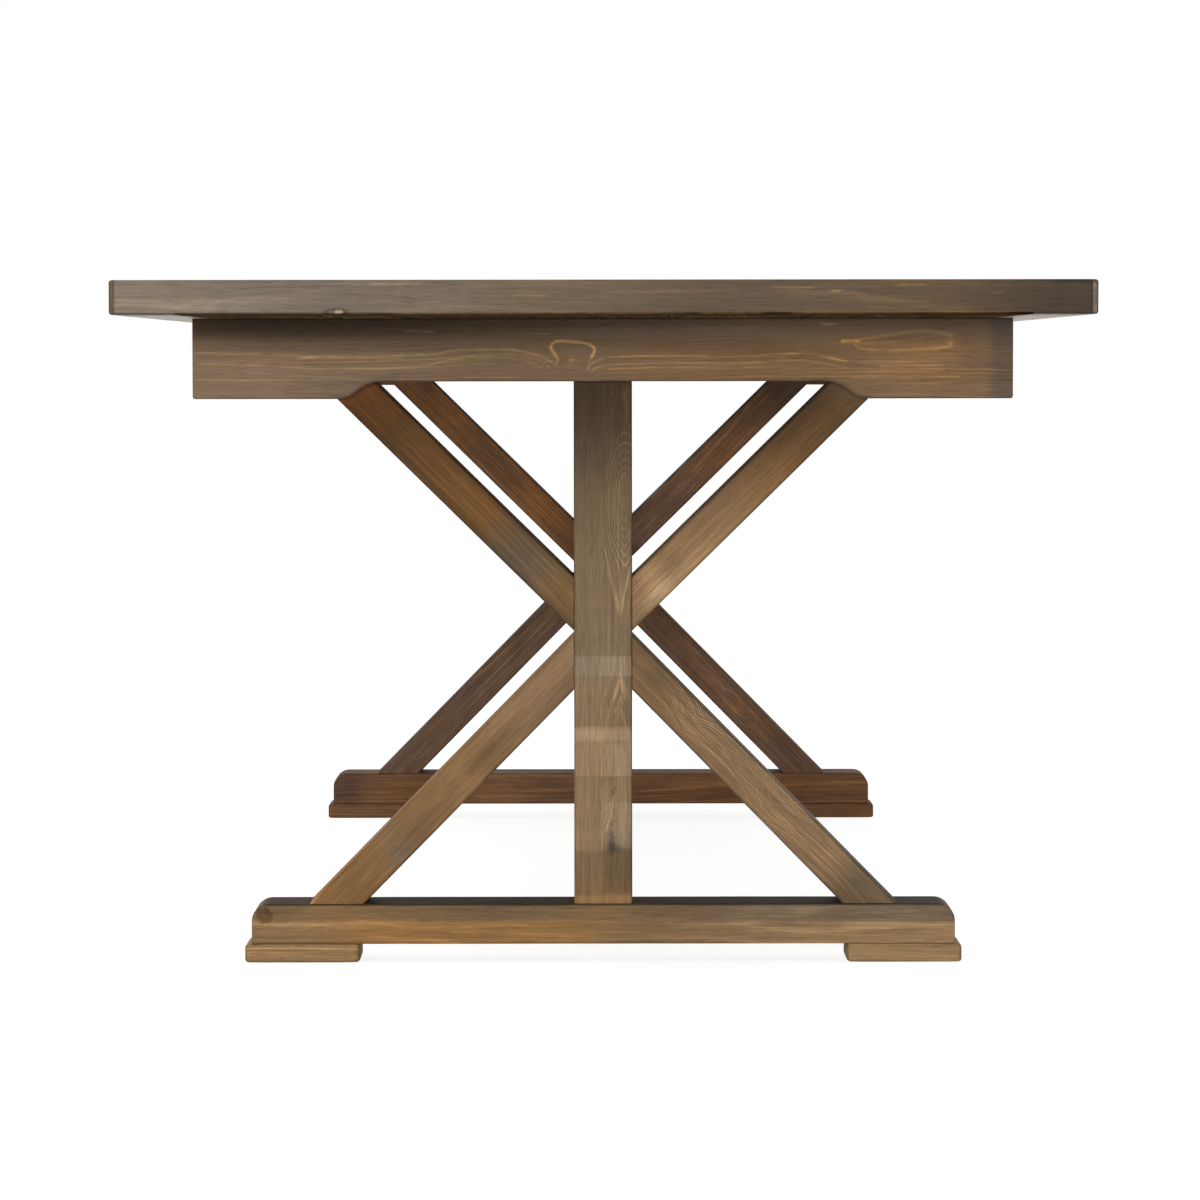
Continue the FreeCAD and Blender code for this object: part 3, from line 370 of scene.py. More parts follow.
class Nodes:
    def __init__(self, name):
        self.mat = bpy.data.materials.new(name)
        self.mat.use_nodes = True
        self.t = self.mat.node_tree
        self.t.nodes.clear()
        self.count = 0

    def new(self, kind, **props):
        n = self.t.nodes.new(kind)
        n.location = (200 * (self.count % 12), -220 * (self.count // 12))
        self.count += 1
        for k, v in props.items():
            setattr(n, k, v)
        return n

    def put(self, socket, value):
        if isinstance(value, bpy.types.NodeSocket):
            self.t.links.new(value, socket)
        elif isinstance(value, (tuple, list)) and len(value) == 3 and socket.type == "RGBA":
            socket.default_value = (*value, 1.0)
        else:
            socket.default_value = value

    def math(self, op, a, b=None, c=None, clamp=False):
        n = self.new("ShaderNodeMath", operation=op, use_clamp=clamp)
        for i, x in enumerate((a, b, c)):
            if x is not None:
                self.put(n.inputs[i], x)
        return n.outputs[0]

    def add(self, a, b):
        return self.math("ADD", a, b)

    def mul(self, a, b):
        return self.math("MULTIPLY", a, b)

    def mad(self, a, b, c):
        return self.math("MULTIPLY_ADD", a, b, c)

    def vec(self, op, a, b=None, scale=None):
        n = self.new("ShaderNodeVectorMath", operation=op)
        self.put(n.inputs[0], a)
        if b is not None:
            self.put(n.inputs[1], b)
        if scale is not None:
            self.put(n.inputs["Scale"], scale)
        return n.outputs["Value"] if op in ("LENGTH", "DOT_PRODUCT") else n.outputs[0]

    def noise(self, vector, detail=2.0, rough=0.55, w=None):
        n = self.new("ShaderNodeTexNoise", noise_dimensions="4D" if w is not None else "3D")
        self.put(n.inputs["Vector"], vector)
        n.inputs["Scale"].default_value = 1.0
        n.inputs["Detail"].default_value = detail
        n.inputs["Roughness"].default_value = rough
        if w is not None:
            self.put(n.inputs["W"], w)
        return n.outputs[0]

    def range(self, x, a, b, c=0.0, d=1.0, kind="SMOOTHSTEP"):
        n = self.new("ShaderNodeMapRange", interpolation_type=kind, clamp=True) if kind == "LINEAR" else self.new("ShaderNodeMapRange", interpolation_type=kind)
        self.put(n.inputs[0], x)
        for i, q in enumerate((a, b, c, d)):
            n.inputs[1 + i].default_value = q
        return n.outputs[0]

    def ramp(self, x, stops):
        n = self.new("ShaderNodeValToRGB")
        e = n.color_ramp.elements
        while len(e) < len(stops):
            e.new(0.5)
        for i, (at, value) in enumerate(stops):
            e[i].position = at
            e[i].color = (value, value, value, 1) if isinstance(value, (int, float)) else (*value, 1)
        self.put(n.inputs[0], x)
        return n.outputs[0]

    def mix(self, f, a, b, blend="MIX"):
        n = self.new("ShaderNodeMix", data_type="RGBA", blend_type=blend)
        self.put(n.inputs[0], f)
        self.put(n.inputs[6], a)
        self.put(n.inputs[7], b)
        return n.outputs[2]

    def tint(self, colour, factor):
        """Colour times a number."""
        return self.vec("SCALE", colour, scale=factor)

    def attribute(self, name, out):
        return self.new("ShaderNodeAttribute", attribute_name=name).outputs[out]


def pine(name, dark, mid, light, bare=(190, 148, 104), *, lines=1.0, rough=0.56, spec=0.34, own=None, bump=0.5, fine=1.0,
         base=(0.0, 0.0), figure=None, outline=0.42, soft=0.18, even=0.20):
    """Stained softwood. own gives the grain in the table's frame for a part that holds no grain of its own:
    (rotation in degrees, pith offset across, pith offset through, ring pitch). base moves all colours: paler, warmer."""
    N = Nodes(name)
    shift = (2 ** (base[0] + 0.21 * base[1]), 2 ** base[0], 2 ** (base[0] - 0.45 * base[1]))
    dark, mid, light, figure = (tuple(min(a * b, 0.95) for a, b in zip(lin(*q), shift)) for q in (dark, mid, light, figure or light))
    if own is None:
        B = N.attribute("board", "Vector")
        ring = N.attribute("ring", "Fac")
        knot = N.attribute("knot", "Fac")
        tone = N.new("ShaderNodeSeparateXYZ")
        N.put(tone.inputs[0], N.attribute("tone", "Vector"))
        pale, warm, wear = tone.outputs
        look = N.new("ShaderNodeSeparateXYZ")
        N.put(look.inputs[0], N.attribute("look", "Vector"))
        gain, rim, endg = look.outputs
        mark = N.attribute("mark", "Fac")
    else:
        rotation, pv, pw, pitch = own
        tc = N.new("ShaderNodeTexCoord")
        mp = N.new("ShaderNodeMapping")
        N.put(mp.inputs["Vector"], tc.outputs["Object"])
        mp.inputs["Rotation"].default_value = [math.radians(a) for a in rotation]
        B = mp.outputs[0]
        sep = N.new("ShaderNodeSeparateXYZ")
        N.put(sep.inputs[0], B)
        bend = N.noise(N.vec("MULTIPLY", B, (1.4, 2.0, 2.0)), 2.0)
        a = N.add(N.add(sep.outputs[1], pv), N.mad(bend, 0.03, -0.015))
        b = N.add(N.add(sep.outputs[2], pw), N.mad(bend, 0.02, -0.010))
        ring = N.mul(N.math("SQRT", N.add(N.mul(a, a), N.mul(b, b))), 1.0 / pitch)

    # Fibres at four scales, from broad stain marks to single strands
    n_big = N.noise(N.vec("MULTIPLY", B, (2.0, 17.0, 17.0)), 3.0)
    n_mid = N.range(N.noise(N.vec("MULTIPLY", B, (5.5, 85.0, 85.0)), 3.0, 0.6), 0.28, 0.72, kind="LINEAR")
    n_str = N.range(N.noise(N.vec("MULTIPLY", B, (9.0, 380.0, 380.0)), 3.0, 0.6), 0.30, 0.70, kind="LINEAR")
    n_fib = N.range(N.noise(N.vec("MULTIPLY", B, (42.0, 1300.0, 1300.0)), 2.0, 0.6), 0.28, 0.72, kind="LINEAR")
    n_dot = N.noise(N.vec("MULTIPLY", B, (75.0, 620.0, 620.0)), 1.0, 0.5)

    # Growth rings: the phase wanders a little, each ring has its own strength and fades in and out
    wander = N.noise(N.vec("MULTIPLY", B, (2.4, 28.0, 28.0)), 2.0)
    jitter = N.noise(N.vec("MULTIPLY", B, (24.0, 210.0, 210.0)), 2.0)
    phase = N.add(N.add(ring, N.mad(wander, 0.7, -0.35)), N.mad(jitter, 0.42, -0.21))
    t = N.math("FRACT", phase)
    number = N.math("FLOOR", phase)
    late = N.ramp(t, [(0.0, 0.22), (0.06, 0.0), (0.50, 0.0), (0.70, 0.28), (0.84, 1.0), (0.93, 1.0), (1.0, 0.22)])
    white = N.new("ShaderNodeTexWhiteNoise", noise_dimensions="1D")
    N.put(white.inputs["W"], number)
    strength = N.mad(N.math("POWER", white.outputs["Value"], 1.5), 1.0 - even, even)
    fade = N.range(N.noise(N.vec("MULTIPLY", B, (3.1, 14.0, 14.0)), 2.0, w=N.mul(number, 0.61)), 0.38, 0.60, 0.25, 1.0)
    broken = N.mad(n_str, 0.9, 0.45)
    line = N.mul(N.mul(late, strength), N.mul(fade, broken))
    if own is None:
        line = N.mul(N.mul(line, gain), N.mad(endg, -0.75, 1.0))

    # Stain: takes unevenly, lies darker in the pores and lighter on the hard late wood
    blotch = N.range(N.add(N.mul(n_big, 0.73 - soft), N.mad(n_mid, soft, 0.135)), 0.36, 0.64)
    c = N.mix(blotch, dark, mid)
    c = N.mix(N.math("MULTIPLY", line, lines, clamp=True), c, light)
    if own is None:
        c = N.mix(N.math("MULTIPLY", mark, N.mad(n_str, 0.7, 0.6), clamp=True), c, figure)
    value = N.mul(N.mad(n_str, 0.52 * fine, 1.0 - 0.26 * fine), N.mad(n_fib, 0.32 * fine, 1.0 - 0.16 * fine))
    c = N.tint(c, value)
    fleck = N.mul(N.range(n_dot, 0.60, 0.70), 0.30 * fine)
    c = N.mix(fleck, c, N.vec("MULTIPLY", c, (1.9, 1.75, 1.55)))
    bared = None
    if own is None:
        warmth = N.new("ShaderNodeCombineXYZ")
        for i, k in enumerate((0.21, 0.0, -0.45)):
            N.put(warmth.inputs[i], N.math("POWER", 2.0, N.mad(warm, k, pale)) if k else N.math("POWER", 2.0, pale))
        c = N.vec("MULTIPLY", c, warmth.outputs[0])
        # Knots: dark heart with its own fine rings, a darker rim, a stained halo
        ragged = N.add(knot, N.mad(n_mid, 0.002, -0.001))
        core = N.range(ragged, -0.0008, 0.0008, 1.0, 0.0)
        own_rings = N.ramp(N.math("FRACT", N.mul(ragged, 700.0)), [(0.0, 0.72), (0.5, 1.0), (0.85, 1.15), (1.0, 0.72)])
        heart = N.vec("MULTIPLY", N.tint(lin(98, 62, 42), N.mad(n_mid, 0.35, 0.80)), own_rings)
        halo = N.range(knot, 0.0, 0.016, 0.38, 0.0)
        c = N.mix(halo, c, N.vec("MULTIPLY", c, (0.72, 0.56, 0.44)))
        c = N.mix(core, c, heart)
        edge = N.range(N.math("ABSOLUTE", ragged), 0.0, 0.0016, 0.6, 0.0)
        c = N.mix(edge, c, lin(46, 30, 22))
        # End grain drinks more stain; arrises are painted darker where they aren't rubbed, as shade along the edges
        pores = N.noise(N.vec("MULTIPLY", B, (20.0, 900.0, 900.0)), 1.0)
        c = N.mix(endg, c, N.tint(c, N.mad(pores, 0.5, 0.38)))
        c = N.mix(N.mul(rim, outline), c, N.tint(c, 0.35))
        bared = N.range(N.add(wear, N.mad(n_str, 0.5, -0.25)), 0.42, 0.72)
        c = N.mix(bared, c, N.tint(lin(*bare), N.mad(n_str, 0.5, 0.72)))
    # Resin canals: fine short dark dashes
    dash = N.range(N.noise(N.vec("MULTIPLY", B, (42.0, 1000.0, 1000.0)), 0.0), 0.65, 0.73, 0.0, 0.42)
    c = N.mix(dash, c, N.tint(c, 0.45))

    height = N.add(N.add(N.mul(line, 0.50), N.mul(n_str, 0.30 * (0.4 + 0.6 * fine))), N.add(N.mul(n_fib, 0.16), N.add(N.mul(n_mid, 0.30), N.mul(dash, -0.9))))
    bmp = N.new("ShaderNodeBump")
    bmp.inputs["Strength"].default_value = bump
    bmp.inputs["Distance"].default_value = 0.0006
    N.put(bmp.inputs["Height"], height)
    r = N.add(N.mad(n_mid, 0.10, rough - 0.05), N.mul(line, -0.08))
    if own is None:
        r = N.add(r, N.add(N.mul(bared, 0.12), N.mul(endg, 0.14)))
    sh = N.new("ShaderNodeBsdfPrincipled")
    N.put(sh.inputs["Base Color"], c)
    N.put(sh.inputs["Roughness"], r)
    N.put(sh.inputs["Normal"], bmp.outputs[0])
    sh.inputs["Specular IOR Level"].default_value = spec
    out = N.new("ShaderNodeOutputMaterial")
    N.put(out.inputs[0], sh.outputs[0])
    return N.mat


def steel(name):
    """Yellow-passivated screw steel, dulled and scratched."""
    N = Nodes(name)
    tc = N.new("ShaderNodeTexCoord")
    P = tc.outputs["Object"]
    a = N.noise(N.vec("MULTIPLY", P, (900.0, 900.0, 900.0)), 3.0)
    b = N.noise(N.vec("MULTIPLY", P, (210.0, 210.0, 210.0)), 2.0)
    c = N.mix(N.range(b, 0.35, 0.65), lin(150, 132, 84), lin(182, 176, 160))
    c = N.tint(c, N.mad(a, 0.5, 0.7))
    sh = N.new("ShaderNodeBsdfPrincipled")
    sh.inputs["Metallic"].default_value = 1.0
    N.put(sh.inputs["Base Color"], c)
    N.put(sh.inputs["Roughness"], N.mad(a, 0.3, 0.25))
    bmp = N.new("ShaderNodeBump")
    bmp.inputs["Strength"].default_value = 0.2
    bmp.inputs["Distance"].default_value = 0.0001
    N.put(bmp.inputs["Height"], a)
    N.put(sh.inputs["Normal"], bmp.outputs[0])
    out = N.new("ShaderNodeOutputMaterial")
    N.put(out.inputs[0], sh.outputs[0])
    return N.mat


# the underside of the top in front of the aprons has no specular, so it shows dark there, standing in for shade
M_top, M_top_dull = [pine("stained_pine_planks" + name, (84, 69, 53), (124, 105, 84), (164, 136, 100), rough=0.47, spec=spec, base=(-0.40, 0.50))
                     for name, spec in (("", 0.4), ("_dull", 0.0))]
M_bread, M_bread_dull = [pine("stained_pine_breadboards" + name, (94, 81, 68), (114, 99, 84), (150, 130, 106), rough=0.54, spec=spec, lines=0.5,
                              fine=0.62, soft=0.12, base=(-0.70, 0.98), figure=(236, 196, 150), bare=(176, 146, 118))
                         for name, spec in (("", 0.24), ("_dull", 0.0))]
M_apron = pine("stained_pine_aprons", (121, 97, 73), (138, 112, 85), (196, 156, 104), rough=0.60, spec=0.18, base=(-0.44, 0.07), fine=0.36,
               soft=0.08, lines=0.8, figure=(224, 176, 116), even=0.35)
M_post = pine("stained_pine_posts", (112, 92, 69), (130, 108, 82), (176, 148, 108), rough=0.62, spec=0.18, figure=(212, 172, 122), base=(0.08, 0.27), fine=0.70, soft=0.12, even=0.60)
M_brace = pine("stained_pine_braces", (102, 81, 60), (136, 110, 82), (190, 158, 114), rough=0.62, spec=0.12, base=(0.09, 0.45), fine=0.60, soft=0.10,
               outline=0.75, even=0.55)
# the rear trestle's redder, warmer stain is partly its own colour, partly painted shade
M_rear_stain_and_shade = pine("stained_pine_rear_trestle_and_painted_shade", (92, 66, 46), (124, 90, 62), (172, 124, 78), rough=0.62, spec=0.14, base=(0.13, 0.18), fine=0.8, lines=0.6)
M_foot = pine("stained_pine_feet", (110, 88, 63), (138, 111, 79), (184, 152, 108), rough=0.62, spec=0.18, base=(0.01, 0.26), fine=0.70)
M_pad = pine("stained_pine_pads", (134, 107, 75), (158, 129, 91), (190, 158, 112), rough=0.62, spec=0.22, base=(0.01, 0.38), fine=0.75)
M_low = pine("stained_pine_stretcher", (84, 65, 48), (122, 98, 72), (166, 132, 90), rough=0.58, base=(0.0, 0.40))
M_rail = pine("stained_pine_rails", (78, 61, 45), (112, 89, 64), (156, 124, 82), own=((0, 0, 0), 0.72, -0.60, 0.0046), base=(0.0, 0.30))
M_peg = pine("hardwood_pegs", (140, 110, 76), (168, 136, 98), (196, 166, 124), own=((0, 90, 0), 0.3, 0.2, 0.0024), lines=0.4)
M_steel = steel("passivated_steel")

# ----------------------------------------------------------------------------------------------------------------------
# The top
# ----------------------------------------------------------------------------------------------------------------------

PLANK = 1.016 / 7
Z_TOP, Z_UNDER = 0.765, 0.729


def plank_radius(i):
    def f(u, v, w):
        outer = (v > 0) if i == 1 else (v < 0) if i == 7 else np.zeros(u.shape, bool)
        return np.full(u.shape, 0.0006), np.where(outer, 0.003, 0.0012)
    return f


plank_grain = {
    1: dict(v0=0.012, w0=-0.035, tv=0.010, tw=0.016, pitch=0.0043, wob=0.012),
    2: dict(v0=-0.030, w0=0.050, tv=-0.006, tw=-0.012, pitch=0.0050, wob=0.010),
    3: dict(v0=0.150, w0=-0.090, tv=0.012, tw=0.008, pitch=0.0040, wob=0.014),
    4: dict(v0=-0.004, w0=-0.042, tv=0.008, tw=-0.015, pitch=0.0047, wob=0.013),
    5: dict(v0=0.034, w0=0.060, tv=-0.010, tw=0.012, pitch=0.0044, wob=0.012),
    6: dict(v0=-0.140, w0=-0.070, tv=-0.008, tw=0.010, pitch=0.0041, wob=0.014),
    7: dict(v0=-0.015, w0=-0.038, tv=0.012, tw=0.014, pitch=0.0049, wob=0.011),
}
plank_knots = {
    1: ((-0.62, 0.022, 0.011, 1.25), (0.44, -0.036, 0.007, 1.1)),
    2: ((0.78, 0.030, 0.009, 1.2),),
    3: ((-0.21, -0.018, 0.013, 1.2), (0.93, 0.041, 0.006, 1.1)),
    4: ((0.12, 0.036, 0.008, 1.3), (-0.86, -0.012, 0.010, 1.15)),
    5: ((0.55, -0.010, 0.012, 1.2),),
    6: ((-0.42, 0.028, 0.008, 1.2), (0.30, -0.044, 0.006, 1.2)),
    7: ((-0.75, -0.026, 0.010, 1.2), (0.70, 0.020, 0.012, 1.25)),
}
plank_pale = {1: -0.06, 2: 0.10, 3: -0.14, 4: 0.04, 5: 0.13, 6: -0.08, 7: 0.02}


def near_knots(knots, axis):
    """More grid lines where a knot is, so that its outline stays round."""
    out = []
    for k in knots:
        r = k[2] * (k[3] if axis == 0 else 1.0)
        out += [k[axis] + r * q for q in (-2.2, -1.6, -1.2, -0.9, -0.6, -0.3, 0, 0.3, 0.6, 0.9, 1.2, 1.6, 2.2)]
    return out


for i in range(1, 8):
    x = (i - 4) * PLANK
    shade = plank_pale[i]
    board("plank_%d_wood" % i, "plank_%d" % i, M_top, (2.158, PLANK, 0.036),
          axes((x, 0, (Z_TOP + Z_UNDER) / 2), (0, 1, 0), (0, 0, 1)),
          step=(0.012, 0.0085, 0.009), arris=0.003 if i in (1, 7) else 0.0012, end_arris=0.0006, radius_of=plank_radius(i),
          more_u=near_knots(plank_knots[i], 0), more_v=near_knots(plank_knots[i], 1),
          grain=plank_grain[i], knots=plank_knots[i], seed=i, sway=0.00018,
          dull=(M_top_dull, lambda u, v, w, x=x: (w < -0.0165) & (np.abs(u) > 0.80) & (np.abs(x - v) < 0.440)),
          tone=lambda u, v, w, s=shade: (s + 0 * u, 0 * u))


def bread_radius(u, v, w):
    return np.full(u.shape, 0.003), np.where(v < 0, 0.003, 0.0012)


def bread_tone_with_painted_light(front):
    def f(u, v, w):
        face = smooth(-0.060, -0.069, v)          # the long outer edge
        x = u if front else -u
        # paleness of the outer face along the board: partly stain, partly painted sheen and shade
        painted_sheen_shade_and_stain = face * (0.64 * smooth(0.02, -0.42, x) - 0.27 * smooth(0.0, 0.16, x) - 0.50 * smooth(0.24, 0.44, x)
                       - 0.95 * smooth(0.37, 0.475, x) + 0.10 * smooth(-0.38, -0.46, x) - 0.10 * bump1(x, -0.28, 0.03))
        painted_sheen_shade_and_stain = painted_sheen_shade_and_stain + face * (0.08 * perlin(u * 3.1 + 4.0, w * 60) + 0.05 * perlin(u * 9.0, w * 160))
        warm = face * (-0.95 * smooth(0.0, -0.33, x) + 0.70 * smooth(0.1, 0.37, x) - 0.22 * band(x, -0.42, 0.06, 0.08))
        if front:
            # the rounded corners: painted shade at the left end; at the right end a painted highlight, behind a dark
            # line
            painted_shade_tip = smooth(-0.5035, -0.5065, x)
            painted_sheen_shade_and_stain = painted_sheen_shade_and_stain - 0.9 * painted_shade_tip - 1.3 * bump1(x, -0.5030, 0.0014) * face
            warm = warm + 1.0 * painted_shade_tip
            painted_highlight_tip = band(x, 0.5015, 0.5066, 0.0012)
            painted_sheen_shade_and_stain = painted_sheen_shade_and_stain - 0.15 * face * bump1(x, 0.459, 0.02) + 2.90 * painted_highlight_tip * smooth(-0.040, -0.062, v) - 1.1 * bump1(x, 0.5004, 0.0011) * face
            warm = warm - 2.2 * painted_highlight_tip + 0.62 * face * bump1(x, 0.459, 0.02)
            painted_sheen_shade_and_stain = painted_sheen_shade_and_stain - 1.2 * face * smooth(0.0125, 0.0165, w) * smooth(0.455, 0.475, x)
            chip = np.hypot((x + 0.2748) / 0.0108, (w + 0.0152) / 0.0032)
            # the lower arris of the outer face is painted dark as shade
            painted_sheen_shade_and_stain = painted_sheen_shade_and_stain - 1.2 * np.exp(-((chip - 1.0) / 0.22) ** 2) * face - 1.1 * smooth(-0.0150, -0.0170, w) * smooth(-0.064, -0.067, v)
            painted_sheen_shade_and_stain = painted_sheen_shade_and_stain - (0.16 * smooth(0.0, 0.1, x) + 0.10 * smooth(0.25, 0.4, x)) * face
            warm = warm + (0.15 + 0.20 * smooth(0.25, 0.42, x)) * face
        return painted_sheen_shade_and_stain, warm
    return f


def bread_mark(u, v, w):
    face = smooth(-0.062, -0.069, v)
    m = 0.0 * u
    for x0, x1, z, h, k in ((-0.215, 0.085, -0.0170, 0.0010, 0.40), (0.100, 0.162, -0.0167, 0.0010, 0.75), (0.195, 0.418, -0.0167, 0.0010, 0.60),
                            (-0.240, -0.187, 0.0135, 0.0012, 0.24), (0.234, 0.2415, 0.0062, 0.0010, 0.80), (0.397, 0.4070, 0.0040, 0.0009, 0.50),
                            (0.300, 0.3300, 0.0125, 0.0008, 0.30), (-0.090, -0.0600, 0.0020, 0.0008, 0.30), (0.175, 0.215, 0.0095, 0.0008, 0.25),
                            (-0.300, -0.2400, -0.0168, 0.0010, 0.15)):
        m = np.maximum(m, k * band(u, x0, x1, 0.010) * np.exp(-((w - z) / h) ** 2) * np.clip(0.8 + 0.7 * perlin(u * 90 + z * 900, 2.0), 0.2, 1.2))
    return m * face


bread_dents = (
    (-0.2722, -0.070, -0.0152, 0.0060, 0.0024, 0.0010, (0, 1, 0.6), 0.92),
    (-0.2790, -0.070, -0.0152, 0.0056, 0.0026, 0.0007, (0, 1, 0.6), 0.50),
    (-0.4350, -0.070, 0.0175, 0.0060, 0.0020, 0.0005, (0, 1, -1), 0.35),
)
for end, s in (("front", 1), ("rear", -1)):
    board(end + "_breadboard_wood", end + "_breadboard", M_bread, (1.016, 0.140, 0.036),
          axes((0, -s * 1.149, (Z_TOP + Z_UNDER) / 2), (s, 0, 0), (0, 0, 1)),
          step=(0.005, 0.007, 0.0012 if s > 0 else 0.004), arris=0.003, end_arris=0.003, radius_of=bread_radius,
          corners=(0.007, 0.007, 0.0, 0.0),
          more_u=[-0.2745 + 0.0011 * k for k in range(-12, 13)]
          + [0.4985 + 0.0007 * k for k in range(9)] + [-0.4985 - 0.0007 * k for k in range(9)],
          grain=dict(v0=0.16 * s, w0=-0.024 if s > 0 else 0.05, tv=0.004, tw=0.004, pitch=0.0042, wob=0.006, warp=0.0012,
                     mark=bread_mark if s > 0 else None),
          knots=((0.31, 0.018, 0.009, 1.2),) if s > 0 else ((-0.17, -0.012, 0.011, 1.2), (0.36, 0.03, 0.006, 1.2)),
          dents=bread_dents if s > 0 else bread_dents[1:], seed=11 if s > 0 else 12, sway=0.0002, tone=bread_tone_with_painted_light(s > 0), worn=0.25,
          dull=(M_bread_dull, lambda u, v, w: (w < -0.0158) & (np.abs(u) < 0.440)))

# ----------------------------------------------------------------------------------------------------------------------
# End aprons, with the arched lower edge: nose, hollow, flat, hollow, nose
# ----------------------------------------------------------------------------------------------------------------------

HALF, NOSE, SLOPE = 0.2965, 0.028, math.radians(41.6)


def arched(rise):
    """The arched cut: the height of the lower edge over its level at the ends, the warp that lifts a board's lower edge
    to it, and where the board needs grid lines for it."""
    hollow_r = rise / (1 - math.cos(SLOPE)) - NOSE
    x_mid = HALF - NOSE * math.sin(SLOPE)
    x_in = HALF - (NOSE + hollow_r) * math.sin(SLOPE)

    def arch(u):
        a = np.abs(u)
        nose = NOSE - np.sqrt(np.maximum(NOSE ** 2 - np.clip(HALF - a, 0, NOSE) ** 2, 0))
        hollow = rise - (hollow_r - np.sqrt(np.maximum(hollow_r ** 2 - np.clip(a - x_in, 0, hollow_r) ** 2, 0)))
        return np.where(a >= HALF, 0.0, np.where(a > x_mid, nose, np.where(a > x_in, hollow, rise)))

    def warp(u, v, w):
        level = 1 - smooth(-0.030, 0.041, v)
        return u, v + arch(u) * level, w

    lines = sorted(s * (x_in + (HALF - x_in) * q / 26) for s in (-1, 1) for q in range(-1, 28))
    return arch, warp, lines


front_arch = arched(0.0195)[0]

# Figure of the front apron, as lines of light grain: x from the middle, height over the apron's middle (684 mm)
APRON_LINES = (
    # the heart-shaped figure left of the post
    (((-0.0502, -0.0008), (-0.0545, 0.0060), (-0.0584, 0.0130), (-0.0541, 0.0186), (-0.0480, 0.0198), (-0.0345, 0.0191),
      (-0.0211, 0.0175), (-0.0115, 0.0140), (-0.0094, 0.0086), (-0.0125, 0.0020)), 0.0015, 0.95),
    (((-0.0365, -0.0015), (-0.0345, -0.0012)), 0.0013, 0.9),
    (((-0.0125, 0.0030), (-0.0160, -0.0060), (-0.0165, -0.0125)), 0.0012, 0.35),
    (((-0.0502, -0.0008), (-0.0530, -0.0080)), 0.0012, 0.35),
    # lines that run to it from the left
    (((-0.4558, 0.0068), (-0.3841, 0.0052), (-0.3057, 0.0019), (-0.2273, 0.0007)), 0.0013, 0.20),
    (((-0.3393, 0.0019), (-0.2609, 0.0030), (-0.1892, 0.0055), (-0.1679, 0.0091), (-0.1152, 0.0104), (-0.0928, 0.0086),
      (-0.0704, 0.0030), (-0.0569, -0.0037)), 0.0012, 0.55),
    (((-0.1500, 0.0035), (-0.1152, 0.0055), (-0.0900, 0.0035), (-0.0704, -0.0025), (-0.0600, -0.0090)), 0.0010, 0.38),
    (((-0.4558, -0.0049), (-0.3841, -0.0071), (-0.3057, -0.0111), (-0.2049, -0.0082), (-0.1679, -0.0004), (-0.1152, 0.0008),
      (-0.0872, -0.0025), (-0.0660, -0.0110)), 0.0012, 0.28),
    (((-0.4550, -0.0145), (-0.3700, -0.0165), (-0.3000, -0.0210), (-0.2400, -0.0215)), 0.0010, 0.18),
    (((-0.4550, -0.0225), (-0.3700, -0.0265), (-0.3100, -0.0330)), 0.0010, 0.16),
    (((-0.2182, 0.0309), (-0.1913, 0.0306)), 0.0010, 0.85),
    (((-0.0900, 0.0290), (-0.0600, 0.0285)), 0.0008, 0.35),
    # and away from it to the right
    (((-0.0144, -0.0071), (-0.0050, -0.0015), (0.0103, 0.0016), (0.0641, 0.0030), (0.1537, 0.0025), (0.2210, 0.0056),
      (0.2500, 0.0015), (0.2748, -0.0037)), 0.0011, 0.62),
    (((-0.0121, -0.0138), (-0.0030, -0.0085), (0.0193, -0.0062), (0.0865, -0.0044), (0.1537, -0.0050), (0.2210, -0.0020),
      (0.2726, -0.0105)), 0.0010, 0.48),
    (((0.0040, -0.0120), (0.0600, -0.0095), (0.1300, -0.0105), (0.2000, -0.0085)), 0.0009, 0.35),
    (((0.2180, 0.0105), (0.2480, 0.0045), (0.2700, 0.0005)), 0.0009, 0.26),
    # the long eye near the right end
    (((0.2700, 0.0196), (0.2790, 0.0202), (0.2882, 0.0212), (0.3262, 0.0268), (0.3553, 0.0311), (0.3778, 0.0290), (0.3905, 0.0250),
      (0.3900, 0.0180), (0.3823, 0.0120), (0.3218, 0.0086), (0.2900, 0.0112), (0.2830, 0.0150)), 0.0015, 0.40),
    (((0.2690, 0.0196), (0.2790, 0.0200), (0.2870, 0.0196)), 0.0018, 0.85),
    (((0.2930, 0.0165), (0.3250, 0.0190), (0.3600, 0.0225)), 0.0012, 0.14),
    (((0.2450, 0.0385), (0.2600, 0.0382)), 0.0009, 0.85),
    (((0.2860, -0.0040), (0.3500, -0.0042)), 0.0008, 0.36),
    (((0.3100, -0.0085), (0.3800, -0.0080)), 0.0008, 0.40),
    (((0.2850, -0.0135), (0.3450, -0.0140), (0.3800, -0.0128)), 0.0009, 0.40),
    (((0.2780, -0.0210), (0.3300, -0.0215), (0.4000, -0.0205)), 0.0009, 0.35),
    (((0.3050, -0.0280), (0.3900, -0.0275)), 0.0009, 0.28),
    (((0.2900, -0.0405), (0.3700, -0.0400)), 0.0008, 0.25),
)


def apron_mark(u, v, w):
    face = w > 0.009
    m = np.zeros(u.shape)
    for k, (points, half, strength) in enumerate(APRON_LINES):
        m[face] = np.maximum(m[face], stroke(u[face], v[face], points, half, strength, k * 1.7))
    return m


